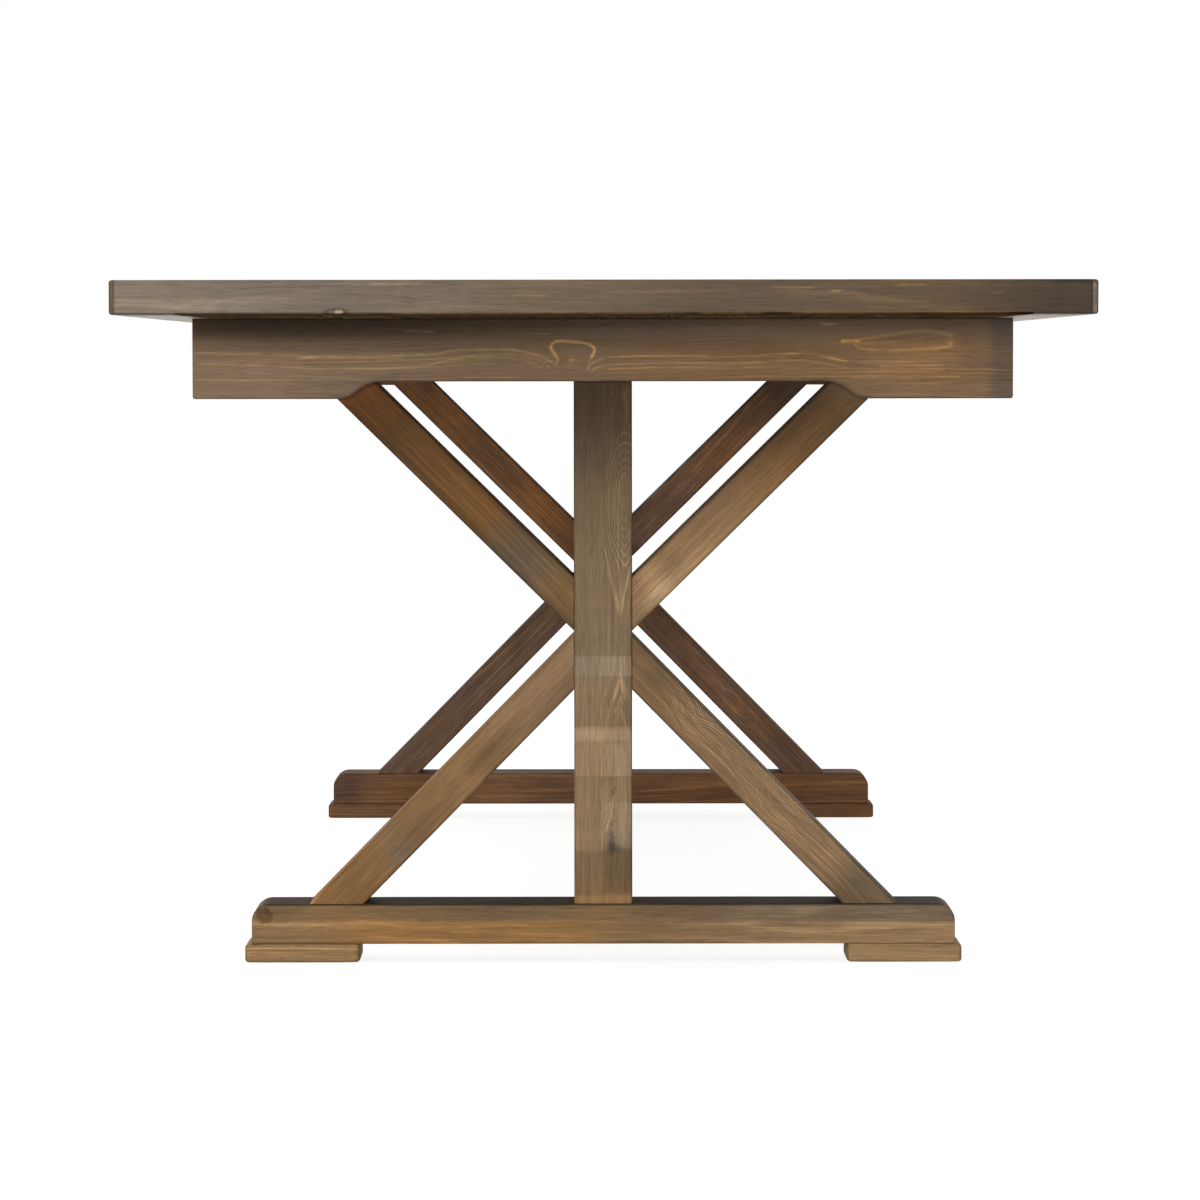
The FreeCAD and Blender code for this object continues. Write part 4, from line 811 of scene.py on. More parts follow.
def apron_tone_and_painted_shade(front):
    def f(u, v, w):
        x = u if front else -u
        face = smooth(0.002, 0.009, w)
        if not front:
            return 0.0 * u, 0.0 * u
        # top, upper, mid and low are height bands of the face; the terms on top paint the shadow of the table top,
        # deeper at the left end and lighter at the right
        top = smooth(0.016, 0.034, v)
        upper = smooth(0.006, 0.016, v) * (1 - top)
        mid = smooth(-0.008, 0.0, v) * smooth(0.016, 0.008, v)
        low = smooth(-0.006, -0.012, v)
        pale = face * (-0.55 * smooth(-0.14, -0.40, x) * top + 0.25 * smooth(0.02, 0.30, x) * top
                       - (0.62 * smooth(0.02, -0.12, x) - 0.28 - 0.14 * bump1(x, -0.05, 0.08)) * top + (0.22 + 0.15 * smooth(-0.2, -0.3, x)) * upper
                       + 0.08 * mid - upper * (0.14 - 0.28 * smooth(0.16, 0.24, x))
                       + low * (0.14 - 0.08 * smooth(0.0, 0.1, x)) + 0.08 * mid * smooth(-0.25, -0.35, x) + 0.20 * smooth(0.33, 0.37, x) * mid
                       - (0.62 * smooth(-0.08, -0.22, x) * smooth(-0.44, -0.30, x) + 0.30 * smooth(-0.30, -0.44, x)) * top
                       - 0.15 * bump1(x, -0.06, 0.06) * top + 0.25 * smooth(0.0, 0.10, x) * top + 0.10 * smooth(0.22, 0.30, x) * top
                       - upper * (0.26 * smooth(0.24, 0.08, x) - 0.34 * smooth(0.22, 0.33, x) * smooth(0.41, 0.38, x))
                       - mid * (0.30 * bump1(x, -0.11, 0.07) + 0.25 * band(x, -0.01, 0.26, 0.06) + 0.10 * smooth(0.28, 0.34, x))
                       + low * (0.17 * band(x, -0.41, -0.27, 0.08) - 0.07 * band(x, -0.19, 0.22, 0.06))
                       + 0.22 * blob(x, v, 0.345, -0.002, 0.060, 0.016) + 0.20 * smooth(0.26, 0.34, x) * smooth(0.024, 0.0, v)
                       + 0.35 * smooth(-0.30, -0.42, x) * smooth(0.014, -0.004, v) - 0.55 * smooth(0.426, 0.444, x)
                       - 0.35 * blob(x, v, 0.335, 0.0205, 0.045, 0.006) + 0.22 * blob(x, v, -0.3, -0.006, 0.14, 0.010)
                       + 0.15 * blob(x, v, 0.1, -0.012, 0.12, 0.010) + 0.20 * blob(x, v, -0.0345, -0.0035, 0.007, 0.005)
                       # painted shade along the arched lower edge, wider near its ends
                       - 0.55 * smooth(0.0075, 0.0, v + 0.045 - front_arch(u)) * band(np.abs(x), 0.235, 0.300, 0.02)
                       - 0.35 * smooth(0.0024, 0.0008, v + 0.045 - front_arch(u))
                       - 0.25 * blob(x, v, 0.418, 0.002, 0.020, 0.010) + 0.11 * smooth(0.30, 0.34, x) * smooth(-0.024, -0.034, v))
        warm = face * (0.45 * smooth(0.0, 0.33, x) + 0.22 * smooth(-0.04, 0.03, x) * (mid + low) + 0.25 * smooth(0.3, 0.36, x) * (1 - top) + 0.30 * bump1(x, -0.075, 0.03) * (low + mid + upper)
                       + 0.15 * upper - 0.15 * smooth(-0.17, -0.24, x) * (mid + low) + 0.30 * blob(x, v, 0.36, -0.004, 0.05, 0.03) - 0.20 * smooth(0.25, 0.30, x) * (1 - top) - 1.0 * smooth(0.426, 0.444, x)
                       - 0.65 * smooth(-0.05, 0.06, x) * top + 0.25 * smooth(-0.04, 0.06, x) * smooth(0.22, 0.16, x) * (mid + low)
                       - 0.25 * smooth(-0.17, -0.24, x) * low - 0.42 * band(x, -0.08, 0.02, 0.04) * top - 0.25 * smooth(0.02, 0.06, x) * top
                       - 0.27 * blob(x, v, 0.418, 0.0, 0.03, 0.02) - 0.50 * smooth(0.28, 0.33, x) * smooth(-0.020, -0.032, v) - 0.20 * upper * smooth(-0.05, -0.15, x)
                       + 0.9 * blob(x, v, -0.0345, -0.0035, 0.008, 0.006) + 0.6 * blob(x, v, 0.29, 0.0185, 0.012, 0.004))
        return pale, warm
    return f


def apron_pith(u):
    return 0.42 + 0.010 * perlin(u * 1.9 + 3.0), -0.16 + 0 * u


def apron_bend(s):
    def f(u, v, w):
        x = u * s
        return (1.3 * blob(x, v, -0.135, 0.004, 0.062, 0.030) - 0.8 * blob(x, v, -0.36, 0.010, 0.08, 0.020)
                - 1.0 * blob(x, v, -0.034, -0.012, 0.034, 0.020) + 0.8 * blob(x, v, 0.16, 0.0, 0.06, 0.03))
    return f


def apron_gain(s):
    def f(u, v, w):
        x = u * s
        return np.clip(0.42 + 0.40 * perlin(u * 5 + 7.7, v * 26) - 0.25 * smooth(-0.2, -0.44, x) - 0.25 * smooth(0.012, 0.03, v), 0.05, 1.0)
    return f


for end, s, rise in (("front", 1, 0.0195), ("rear", -1, 0.0133)):
    arch, apron_warp, arch_lines = arched(rise)
    high = 0.0705 + rise
    board(end + "_end_apron_wood", end + "_end_apron", M_apron, (0.920, high, 0.022),
          axes((0, -s * 0.805, 0.729 - high / 2), (s, 0, 0), (0, -s, 0)),
          step=(0.0045, 0.0011, 0.006) if s > 0 else (0.006, 0.004, 0.008), arris=0.0018, end_arris=0.0018,
          more_u=arch_lines + ([-0.062 + 0.0013 * k for k in range(46)] if s > 0 else []), warp=apron_warp,
          radius_of=lambda u, v, w: (np.full(u.shape, 0.0018), np.where(v > 0, 0.0005, 0.0018)),
          grain=dict(pith=apron_pith, pitch=0.0040, warp=0.0010, fine=0.00045, gain=apron_gain(s), bend=apron_bend(s),
                     mark=apron_mark if s > 0 else None),
          knots=() if s > 0 else ((0.22, 0.005, 0.008, 1.2),), seed=21 if s > 0 else 22, sway=0.0002,
          tone=apron_tone_and_painted_shade(s > 0), worn=0.42, corners=(0.0028, 0.0028, 0, 0) if s > 0 else (0, 0, 0, 0))

# ----------------------------------------------------------------------------------------------------------------------
# Trestles
# ----------------------------------------------------------------------------------------------------------------------


def mitred(p00, p10, p11, p01, w_dir, y):
    """Frame, size and warp of a brace from its outline (x, z), given along its lower and upper long edges, in metres."""
    P = [Vector((x, 0, z)) for x, z in (p00, p10, p11, p01)]
    w = Vector(w_dir)
    u = (P[1] - P[0]).normalized()
    v = w.cross(u)
    mid = sum(P, Vector()) / 4
    q = [((p - mid).dot(u), (p - mid).dot(v)) for p in P]
    q.sort(key=lambda t: (t[1] > 0, t[0]))
    (a0, b0), (a1, b1), (c0, d0), (c1, d1) = q
    lo, hi = (b0 + b1) / 2, (d0 + d1) / 2
    size = ((a1 - a0 + c1 - c0) / 2, hi - lo, 0.066)
    centre = (lo + hi) / 2
    half = size[0] / 2

    def warp(U, V, W):
        t = (V + size[1] / 2) / size[1]
        start, stop = a0 + (c0 - a0) * t, a1 + (c1 - a1) * t
        return start + (U + half) / size[0] * (stop - start), V + centre, W

    origin = (mid.x, y, mid.z)
    frame4 = Matrix(((u.x, v.x, w.x, origin[0]), (u.y, v.y, w.y, origin[1]), (u.z, v.z, w.z, origin[2]), (0, 0, 0, 1)))
    return frame4, size, warp


UPPER = ((0.033, 0.377), (0.3453, 0.684), (0.28256, 0.684), (0.033, 0.43872))
LOWER = ((0.033, 0.3727), (0.3328, 0.067), (0.27117, 0.067), (0.033, 0.30987))


POST_H = ((0.067, 0.016), (0.100, 0.012), (0.143, 0.008), (0.170, 0.011), (0.200, 0.016), (0.250, 0.0225), (0.2944, 0.0261),
          (0.3293, 0.0299), (0.372, 0.0305), (0.3969, 0.0299), (0.4326, 0.0282), (0.4514, 0.0261), (0.4618, 0.0223),
          (0.4723, 0.0185), (0.4806, 0.0147), (0.4890, 0.0109), (0.4976, 0.0071), (0.5106, 0.0033), (0.5226, 0.0005),
          (0.5346, 0.0033), (0.5476, 0.0071), (0.5562, 0.0109), (0.5646, 0.0147), (0.5729, 0.0185), (0.5834, 0.0223),
          (0.5906, 0.0261), (0.6126, 0.033), (0.6426, 0.040), (0.6826, 0.047))
POST_X = ((0.067, 0.008), (0.16, 0.011), (0.25, 0.018), (0.33, 0.0196), (0.40, 0.0204), (0.45, 0.0246), (0.684, 0.0246))
POST_PINCH = ((0.20, 0.0), (0.25, 0.3), (0.29, 0.8), (0.33, 1.0), (0.372, 2.0), (0.397, 2.1), (0.4514, 0.7), (0.50, 0.0))


def along_table(z, table, spread=0.004):
    """A value read from a short table of heights, with its corners rounded off."""
    a, b = zip(*table)
    return sum(np.interp(z + d * spread, a, b) for d in (-1, -0.5, 0, 0.5, 1)) / 5


def post_radius(u, v, w):
    """Distance from the tree's heart as the front face cuts it: nested ovals above, arrow heads below."""
    z = u + 0.3755
    depth = along_table(z, POST_H) + (0.033 - w)
    d = v + along_table(z, POST_X, 0.012)
    d = d * (1 + 0.40 * band(z, 0.44, 0.64, 0.05)) * (1 + along_table(z, POST_PINCH, 0.008) * np.exp(-(d / 0.011) ** 2) * smooth(0.0, 0.033, w))
    return np.hypot(d, depth)


def post_gain(u, v, w):
    z = u + 0.3755
    x = -v
    lively = 0.75 + 0.35 * perlin(u * 4.0 + 2.2, v * 30)
    ovals = smooth(-0.004, 0.007, x) * band(z, 0.40, 0.600, 0.03)
    return np.clip(lively * (0.22 + 0.50 * smooth(-0.008, 0.008, x) * smooth(0.25, 0.30, z)) + 0.35 * ovals
                   + 0.35 * bump1(x, 0.016, 0.008) * band(z, 0.27, 0.44, 0.03) - 0.25 * smooth(0.58, 0.62, z), 0.06, 1.2)


def post_crinkle(z, x):
    """A dark zigzag line of disturbed grain above the scar."""
    saw = np.abs(((z / 0.0062) % 1.0) - 0.5) * 4 - 1
    centre = 0.0086 + 0.032 * (z - 0.140) + 0.0014 * saw + 0.0012 * perlin(z * 110)
    vary = np.clip(0.55 + 1.3 * perlin(z * 95 + 3.1, x * 160), 0.05, 1.2)
    return 0.85 * vary * np.exp(-((x - centre) / 0.0021) ** 2) * band(z, 0.136, 0.212, 0.012)


def post_tone_and_painted_shade(u, v, w):
    # u runs up from the middle of the post at 375.5 mm, v to the left seen from outside
    face = smooth(0.026, 0.032, w)
    z = u + 0.3755
    x = -v
    right = smooth(-0.004, 0.006, x)
    pale = (0.44 * band(z, 0.326, 0.348) + 0.12 * band(z, 0.305, 0.326) + 0.42 * band(z, 0.252, 0.267) + 0.34 * band(z, 0.212, 0.252)
            + 0.16 * band(z, 0.128, 0.150) + 0.30 * right * band(z, 0.150, 0.182, 0.006) - 0.24 * smooth(0.128, 0.122, z) * (1 - right)
            - 0.52 * right * band(z, 0.080, 0.131, 0.008) + 0.34 * smooth(0.0775, 0.0755, z)
            # painted shade from the apron and the top: darker and redder towards the post's top
            - 1.40 * smooth(0.520, 0.645, z) - 0.30 * smooth(0.44, 0.53, z) + 0.07 * smooth(0.55, 0.45, z)
            - 0.14 * smooth(0.53, 0.57, z) - 0.75 * smooth(0.59, 0.65, z) - 0.10 * (1 - right) * band(z, 0.326, 0.366)
            + 0.12 * band(z, 0.252, 0.267) - 0.12 * right * smooth(0.131, 0.124, z) - 0.08 * smooth(0.35, 0.37, z) - 0.12 * right * smooth(0.44, 0.47, z)
            + 0.20 * right * band(z, 0.326, 0.348) + 0.20 * band(z, 0.252, 0.267) + 0.22 * right * band(z, 0.212, 0.250)
            + 0.14 * band(z, 0.140, 0.208, 0.01) - 0.16 * smooth(0.132, 0.126, z)
            - 1.6 * blob(z + 0.0016 * perlin(x * 520, z * 300), v, 0.1325, -0.0095, 0.0068, 0.0042) - 0.5 * blob(z, v, 0.1300, -0.0150, 0.0035, 0.0060)
            - 0.6 * blob(z, v, 0.1460, -0.0085, 0.0040, 0.0030)
            - post_crinkle(z, x) - 0.8 * smooth(0.0308, 0.0325, x)
            + 0.55 * blob(z, v, 0.640, -0.0265, 0.022, 0.0035) + 0.10 * perlin(u * 26, v * 60))
    warm = (0.35 * smooth(0.0775, 0.0755, z) - 0.25 * smooth(0.30, 0.55, z) - 0.45 * band(z, 0.326, 0.348) - 0.35 * band(z, 0.252, 0.267)
            - 0.35 * right * band(z, 0.150, 0.182, 0.006) - 0.6 * right * band(z, 0.128, 0.150) + 0.4 * smooth(0.105, 0.085, z)
            - 0.12 * band(z, 0.365, 0.400, 0.01) + 1.35 * smooth(0.572, 0.640, z) + 0.25 * smooth(0.42, 0.54, z) + 0.20 * smooth(0.13, 0.12, z)
            - 0.30 * right * band(z, 0.212, 0.252) - 0.15 * band(z, 0.305, 0.36, 0.01) + 0.15 * smooth(0.135, 0.125, z) + 0.9 * blob(z, v, 0.640, -0.0265, 0.022, 0.0045))
    return face * pale, face * warm


def post_mark(u, v, w):
    z = u + 0.3755
    face = w > 0.028
    m = np.zeros(u.shape)
    x = -v
    for k, (points, half, strength) in enumerate((
            (((0.470, 0.0020), (0.440, 0.0080), (0.415, 0.0140), (0.398, 0.0175)), 0.0010, 0.55),
            (((0.430, 0.0125), (0.412, 0.0165), (0.402, 0.0185)), 0.0010, 0.50),
            (((0.300, 0.0125), (0.315, 0.0170), (0.322, 0.0195), (0.314, 0.0220), (0.300, 0.0240)), 0.0013, 0.80),
            (((0.286, 0.0140), (0.297, 0.0185), (0.302, 0.0198), (0.294, 0.0222)), 0.0010, 0.50),
            (((0.150, 0.0030), (0.172, 0.0095), (0.190, 0.0118)), 0.0008, 0.45),
            (((0.636, 0.0225), (0.646, 0.0260), (0.655, 0.0270)), 0.0010, 0.55),
            (((0.612, 0.0265), (0.626, 0.0270), (0.640, 0.0262)), 0.0010, 0.45),
            *[(((0.1440 + 0.0050 * k, -0.0022 + 0.0030 * math.sin(2.4 * k)), (0.1482 + 0.0050 * k, 0.0020), (0.1512 + 0.0050 * k, 0.0056 + 0.0010 * math.sin(1.3 * k))),
               0.00070, 0.17 + 0.06 * math.sin(3.1 * k)) for k in range(12)])):
        m[face] = np.maximum(m[face], stroke(z[face], x[face], points, half, strength, 5 + k))
    return m


def brace_tone_and_painted_shade(kind, side, front, length, half):
    """q runs from the post (0) to the far end (1); the upper braces' top ends carry painted shade and are darkest
    there.
    """
    def f(u, v, w):
        q = u / length + 0.5
        up = v if (side == "right") == front else -v       # towards the brace's upper edge
        a = perlin(u * 5.0 + 3.1 * len(kind + side), v * 24)
        b = perlin(u * 3.0 - 2.3 * len(side), v * 14 + 4)
        pale, warm = 0.12 * a + 0.05 * b, 0.15 * b
        if front and kind == "upper" and side == "left":
            pale = (pale - 0.22 - 0.34 * smooth(0.08, 0.24, q) - 0.85 * smooth(0.6, 0.86, q) - 0.34 * bump1(q, 0.76, 0.12)
                    - 0.28 * smooth(0.92, 0.98, q) - 0.26 * smooth(0.42, 0.62, q) + 0.28 * smooth(0.70, 0.77, q) + 0.65 * smooth(0.84, 0.92, q) + 0.20 * blob(q, v, 0.55, -0.002, 0.25, 0.009) - 0.30 * smooth(0.008, 0.020, np.abs(v)))
            warm = (warm + 0.20 - 0.80 * bump1(q, 0.22, 0.07) * smooth(-0.016, 0.0, v) + 0.35 * smooth(0.12, 0.02, q) + 0.40 * bump1(q, 0.35, 0.07) + 1.30 * smooth(0.26, 0.40, q)
                    - 0.40 * bump1(q, 0.16, 0.07) + 0.90 * smooth(0.68, 0.76, q) - 0.30 * smooth(0.78, 0.84, q) + 0.30 * smooth(0.70, 0.80, q) + 2.00 * smooth(0.78, 0.93, q))
        elif front and kind == "upper":
            pale = (pale + 0.46 + 0.22 * smooth(0.14, 0.08, q) + 0.30 * smooth(0.79, 0.84, q) + 0.12 * smooth(0.64, 0.71, q) - 0.08 * bump1(q, 0.22, 0.08) + 0.20 * bump1(q, 0.10, 0.05) - 0.45 * smooth(0.07, 0.02, q) - 0.4 * smooth(0.2, 0.55, q)
                    - 0.95 * smooth(0.5, 0.85, q) - 0.12 * smooth(0.2, 0.3, q) - 0.55 * smooth(0.42, 0.70, q) + 0.25 * smooth(0.9, 0.98, q)
                    + 0.15 * bump1(q, 0.08, 0.05) - 0.19 * bump1(q, 0.15, 0.04) + 0.25 * smooth(0.06, 0.02, q) + 0.08 * bump1(q, 0.25, 0.10)
                    - 0.35 * smooth(0.020, 0.010, q) * smooth(0.0, -0.01, v))
            warm = warm - 0.02 + 0.85 * smooth(0.35, 0.65, q) - 0.45 * smooth(0.79, 0.84, q) - 0.5 * blob(q, v, 0.08, -0.014, 0.06, 0.007)
        elif front and side == "left":
            pale = pale + 0.06 + 0.16 * bump1(q, 0.46, 0.06) + 0.12 * bump1(q, 0.80, 0.07) + 0.35 * smooth(0.36, 0.2, q) - 0.15 * bump1(q, 0.39, 0.07) - 0.3 * smooth(0.55, 0.75, q) + 0.25 * blob(q, v, 0.47, 0.004, 0.03, 0.008) + 0.11 * bump1(q, 0.75, 0.06)
            warm = (warm - 0.15 + 0.62 * smooth(0.15, 0.45, q) + 0.38 * smooth(0.76, 0.82, q) + 0.2 * smooth(0.8, 0.98, q)
                    - 0.7 * blob(q, v, 0.77, 0.010, 0.035, 0.010) - 0.35 * bump1(q, 0.75, 0.06))
        elif front:
            pale = pale - 0.02 + 0.4 * smooth(0.12, 0.3, q) - 0.85 * smooth(0.80, 0.94, q) + 0.26 * smooth(0.08, 0.03, q)
            warm = warm - 0.30 + 0.25 * smooth(0.3, 0.05, q) - 0.6 * blob(q, v, 0.93, 0.012, 0.05, 0.012)
        elif kind == "upper" and side == "left":
            # the rear trestle's braces are blotched, and painted near black along their upper edges as shade
            pale = (pale + 0.02 - 0.40 * blob(q, up, 0.42, 0.006, 0.10, 0.010) - 0.35 * blob(q, up, 0.84, 0.010, 0.07, 0.012)
                    + 0.22 * bump1(q, 0.20, 0.10) + 0.15 * bump1(q, 0.66, 0.10))
            warm = warm + 0.45 - 0.7 * blob(q, up, 0.42, 0.006, 0.10, 0.010) - 0.9 * blob(q, up, 0.84, 0.010, 0.07, 0.012) + 0.5 * bump1(q, 0.20, 0.10)
        elif kind == "upper":
            pale = (pale + 0.26 + 0.34 * bump1(q, 0.56, 0.15) - 0.50 * smooth(0.72, 0.88, q) - 0.22 * smooth(0.36, 0.20, q)
                    - 0.25 * blob(q, up, 0.30, -0.012, 0.10, 0.010))
            warm = warm - 1.00 + 0.85 * bump1(q, 0.56, 0.15) - 0.5 * smooth(0.72, 0.88, q)
        else:
            pale, warm = (pale - 0.18, warm - 1.05) if side == "left" else (pale - 0.02, warm - 0.75)
            if side == "right":
                core = blob(u, up, 0.055, -0.0005, 0.011, 0.0055) + 0.7 * blob(u, up, 0.005, 0.0025, 0.012, 0.0045)
                pale = pale + 0.42 * core - 0.20 * blob(u, up, 0.060, 0.0, 0.034, 0.014)
                warm = warm + 0.8 * core
        if not front:
            pale = pale + 0.24 * perlin(u * 24 + len(kind + side), v * 60) + 0.18 * perlin(u * 60, v * 130 + 7)
            warm = warm + 0.60 * perlin(u * 17 + 5, v * 45 + len(side)) + 0.45 * perlin(u * 50 + 9, v * 110)
            # painted shade: the upper edges near black, the lower edges darker
            pale = pale - (1.7 if kind == "upper" else 0.5) * smooth(half - 0.0016, half - 0.0004, up) - 0.5 * smooth(-half + 0.0030, -half + 0.0010, up)
        elif kind == "lower" and side == "left":
            pale = pale + 0.65 * smooth(half - 0.0030, half - 0.0008, up) - 0.35 * smooth(half - 0.0006, half - 0.0002, up)
            warm = warm + 0.8 * smooth(half - 0.0010, half - 0.0002, up)
        elif kind == "lower":
            # the upper edge is painted dark as shade
            pale = pale + 0.13 * perlin(u * 26 + 2, v * 70) + 0.10 * perlin(u * 70 + 5, v * 150) - 1.0 * smooth(half - 0.0010, half - 0.0002, up)
            warm = warm + 0.30 * perlin(u * 22 + 8, v * 60)
        return pale, warm
    return f


def brace_radius(kind, side):
    """Rings of the two near right-hand braces: fine and wavy above, nested arcs below."""
    if side == "left":
        return None
    if kind == "lower":
        def f(u, v, w):
            q = u / 0.42 + 0.5
            dips = (0.023 * np.exp(-np.abs(q - 0.575) / np.where(q > 0.575, 0.085, 0.060)) + 0.013 * np.exp(-np.abs(q - 0.27) / 0.055)
                    + 0.006 * bump1(q, 0.92, 0.06))
            return 0.30 + v + dips + 0.0012 * perlin(u * 30, v * 60) + (0.033 - w) * 0.8
        return f

    def f(u, v, w):
        return 0.30 + v * 1.0 + 0.0008 * np.sin(u * 95 + v * 60) + 0.0024 * perlin(u * 20, v * 60) + 0.02 * u + (0.033 - w) * 0.8
    return f


def loops_mark(u, v, w):
    """The rear lower right brace's figure: loops of light grain round two pale cores."""
    face = w < -0.028
    m = np.zeros(u.shape)
    for k, (points, half, strength) in enumerate((
            (((0.018, 0.0060), (0.040, 0.0095), (0.062, 0.0080), (0.075, 0.0020), (0.070, -0.0050), (0.052, -0.0085), (0.030, -0.0080)), 0.0010, 0.90),
            (((0.036, 0.0045), (0.052, 0.0062), (0.065, 0.0015), (0.056, -0.0048), (0.040, -0.0045)), 0.0009, 0.90),
            (((0.070, 0.0105), (0.086, 0.0055), (0.091, -0.0020), (0.084, -0.0090)), 0.0009, 0.75),
            (((0.088, 0.0100), (0.101, 0.0050), (0.104, -0.0030)), 0.0009, 0.65),
            (((-0.026, 0.0050), (-0.006, 0.0078), (0.012, 0.0060), (0.022, 0.0015), (0.012, -0.0020), (-0.008, -0.0012)), 0.0009, 0.80))):
        m[face] = np.maximum(m[face], stroke(u[face], -v[face], points, half, strength, 3 + k))
    return m


def brace_gain(kind, side, length):
    def f(u, v, w):
        q = u / length + 0.5
        lively = 0.8 + 0.5 * perlin(u * 7 + 4.4, v * 34)
        if side == "left":
            return np.clip(lively * 0.28, 0.03, 1.0)
        if kind == "upper":
            return np.clip(lively * (0.30 + 0.45 * smooth(0.55, 0.10, q)), 0.05, 1.0)
        return np.clip(lively * (0.34 + 1.00 * band(q, 0.12, 0.92, 0.10) * smooth(-0.022, 0.004, v)), 0.05, 1.5)
    return f


def foot_tone_and_painted_shade(front):
    def f(u, v, w):
        x = u if front else -u
        if not front:
            # u runs to the left here as seen from the front end
            left = smooth(0.345, 0.375, u)
            return (0.16 + 0.06 * smooth(0.012, 0.022, v) - 0.45 * smooth(-0.1, -0.3, x) - 0.15 * smooth(0.1, 0.3, x)
                    - 0.45 * left + 0.22 * bump1(u, 0.31, 0.03) - 0.18 * bump1(u, 0.25, 0.025) + 0.15 * bump1(u, 0.16, 0.04)
                    + 0.10 * perlin(u * 5, v * 30),
                    0.05 + 0.2 * smooth(0.0, 0.3, x) - 0.2 * smooth(-0.1, -0.3, x) - 0.7 * left + 0.5 * bump1(u, 0.30, 0.04) - 0.32 * bump1(x, -0.09, 0.12))
        upper = smooth(0.000, 0.007, v)
        # top is the foot's top face, painted dark as shade under the table
        top = smooth(0.0200, 0.0226, v)
        pale = (0.10 * perlin(u * 5 + 2.2, v * 30) + 0.10 * smooth(0.0, 0.4, u) - 0.35 * upper + 0.12 * (1 - upper) + 0.2 * (1 - upper) * smooth(0.05, 0.15, x)
                - 1.38 * top + 0.08 * (1 - upper) + 0.45 * blob(x - 0.55 * (v - 0.012) * 3.0, v, 0.2146, 0.014, 0.030, 0.008)
                - upper * (0.30 * bump1(x, -0.37, 0.03) + 0.28 * bump1(x, -0.11, 0.045) - 0.15 * bump1(x, 0.0, 0.03) + 0.20 * smooth(0.17, 0.21, x))
                - (1 - upper) * (0.28 * smooth(-0.26, -0.36, x) + 0.20 * bump1(x, 0.05, 0.03) + 0.15 * smooth(0.16, 0.20, x)) - 0.55 * top)
        warm = (0.15 * perlin(u * 3.0, v * 20 + 3) + upper * (-0.1 + 0.3 * smooth(-0.25, -0.35, x) - 0.5 * smooth(0.2, 0.35, x) - 0.25 * smooth(0.10, 0.20, x))
                + (1 - upper) * (0.95 * smooth(0.05, -0.05, x) * smooth(-0.37, -0.25, x) + 0.20 * smooth(0.18, 0.14, x) - 0.15) - 0.14 * top
                + upper * (0.45 * bump1(x, -0.28, 0.05) - 0.25 * bump1(x, -0.11, 0.04) + 0.30 * bump1(x, 0.0, 0.03) - 0.35 * bump1(x, 0.17, 0.09)))
        # a dark, ragged knot at the left end
        d = np.hypot((u + 0.3848) / 0.0094, (v - 0.0098) / 0.0086) + 0.22 * perlin(u * 260, v * 260, 3.3)
        knot = smooth(1.22, 0.82, d) * smooth(0.020, 0.032, w)
        pale = pale - knot * (0.92 - 0.45 * perlin(u * 300 + 5, v * 300) + 0.25 * smooth(0.0100, 0.0145, v) * smooth(-0.3880, -0.3820, u))
        warm = warm + 1.1 * knot
        return pale, warm
    return f


def pad_radius(u, v, w):
    near_end = smooth(0.042, 0.0585, np.abs(u))
    end = np.where(u > 0, np.where(w > 0, 0.005, 0.003), np.where(w > 0, 0.0006, 0.0045))
    side = np.where(w > 0, 0.0008, 0.0016)
    r = side + (end - side) * near_end
    return r, r


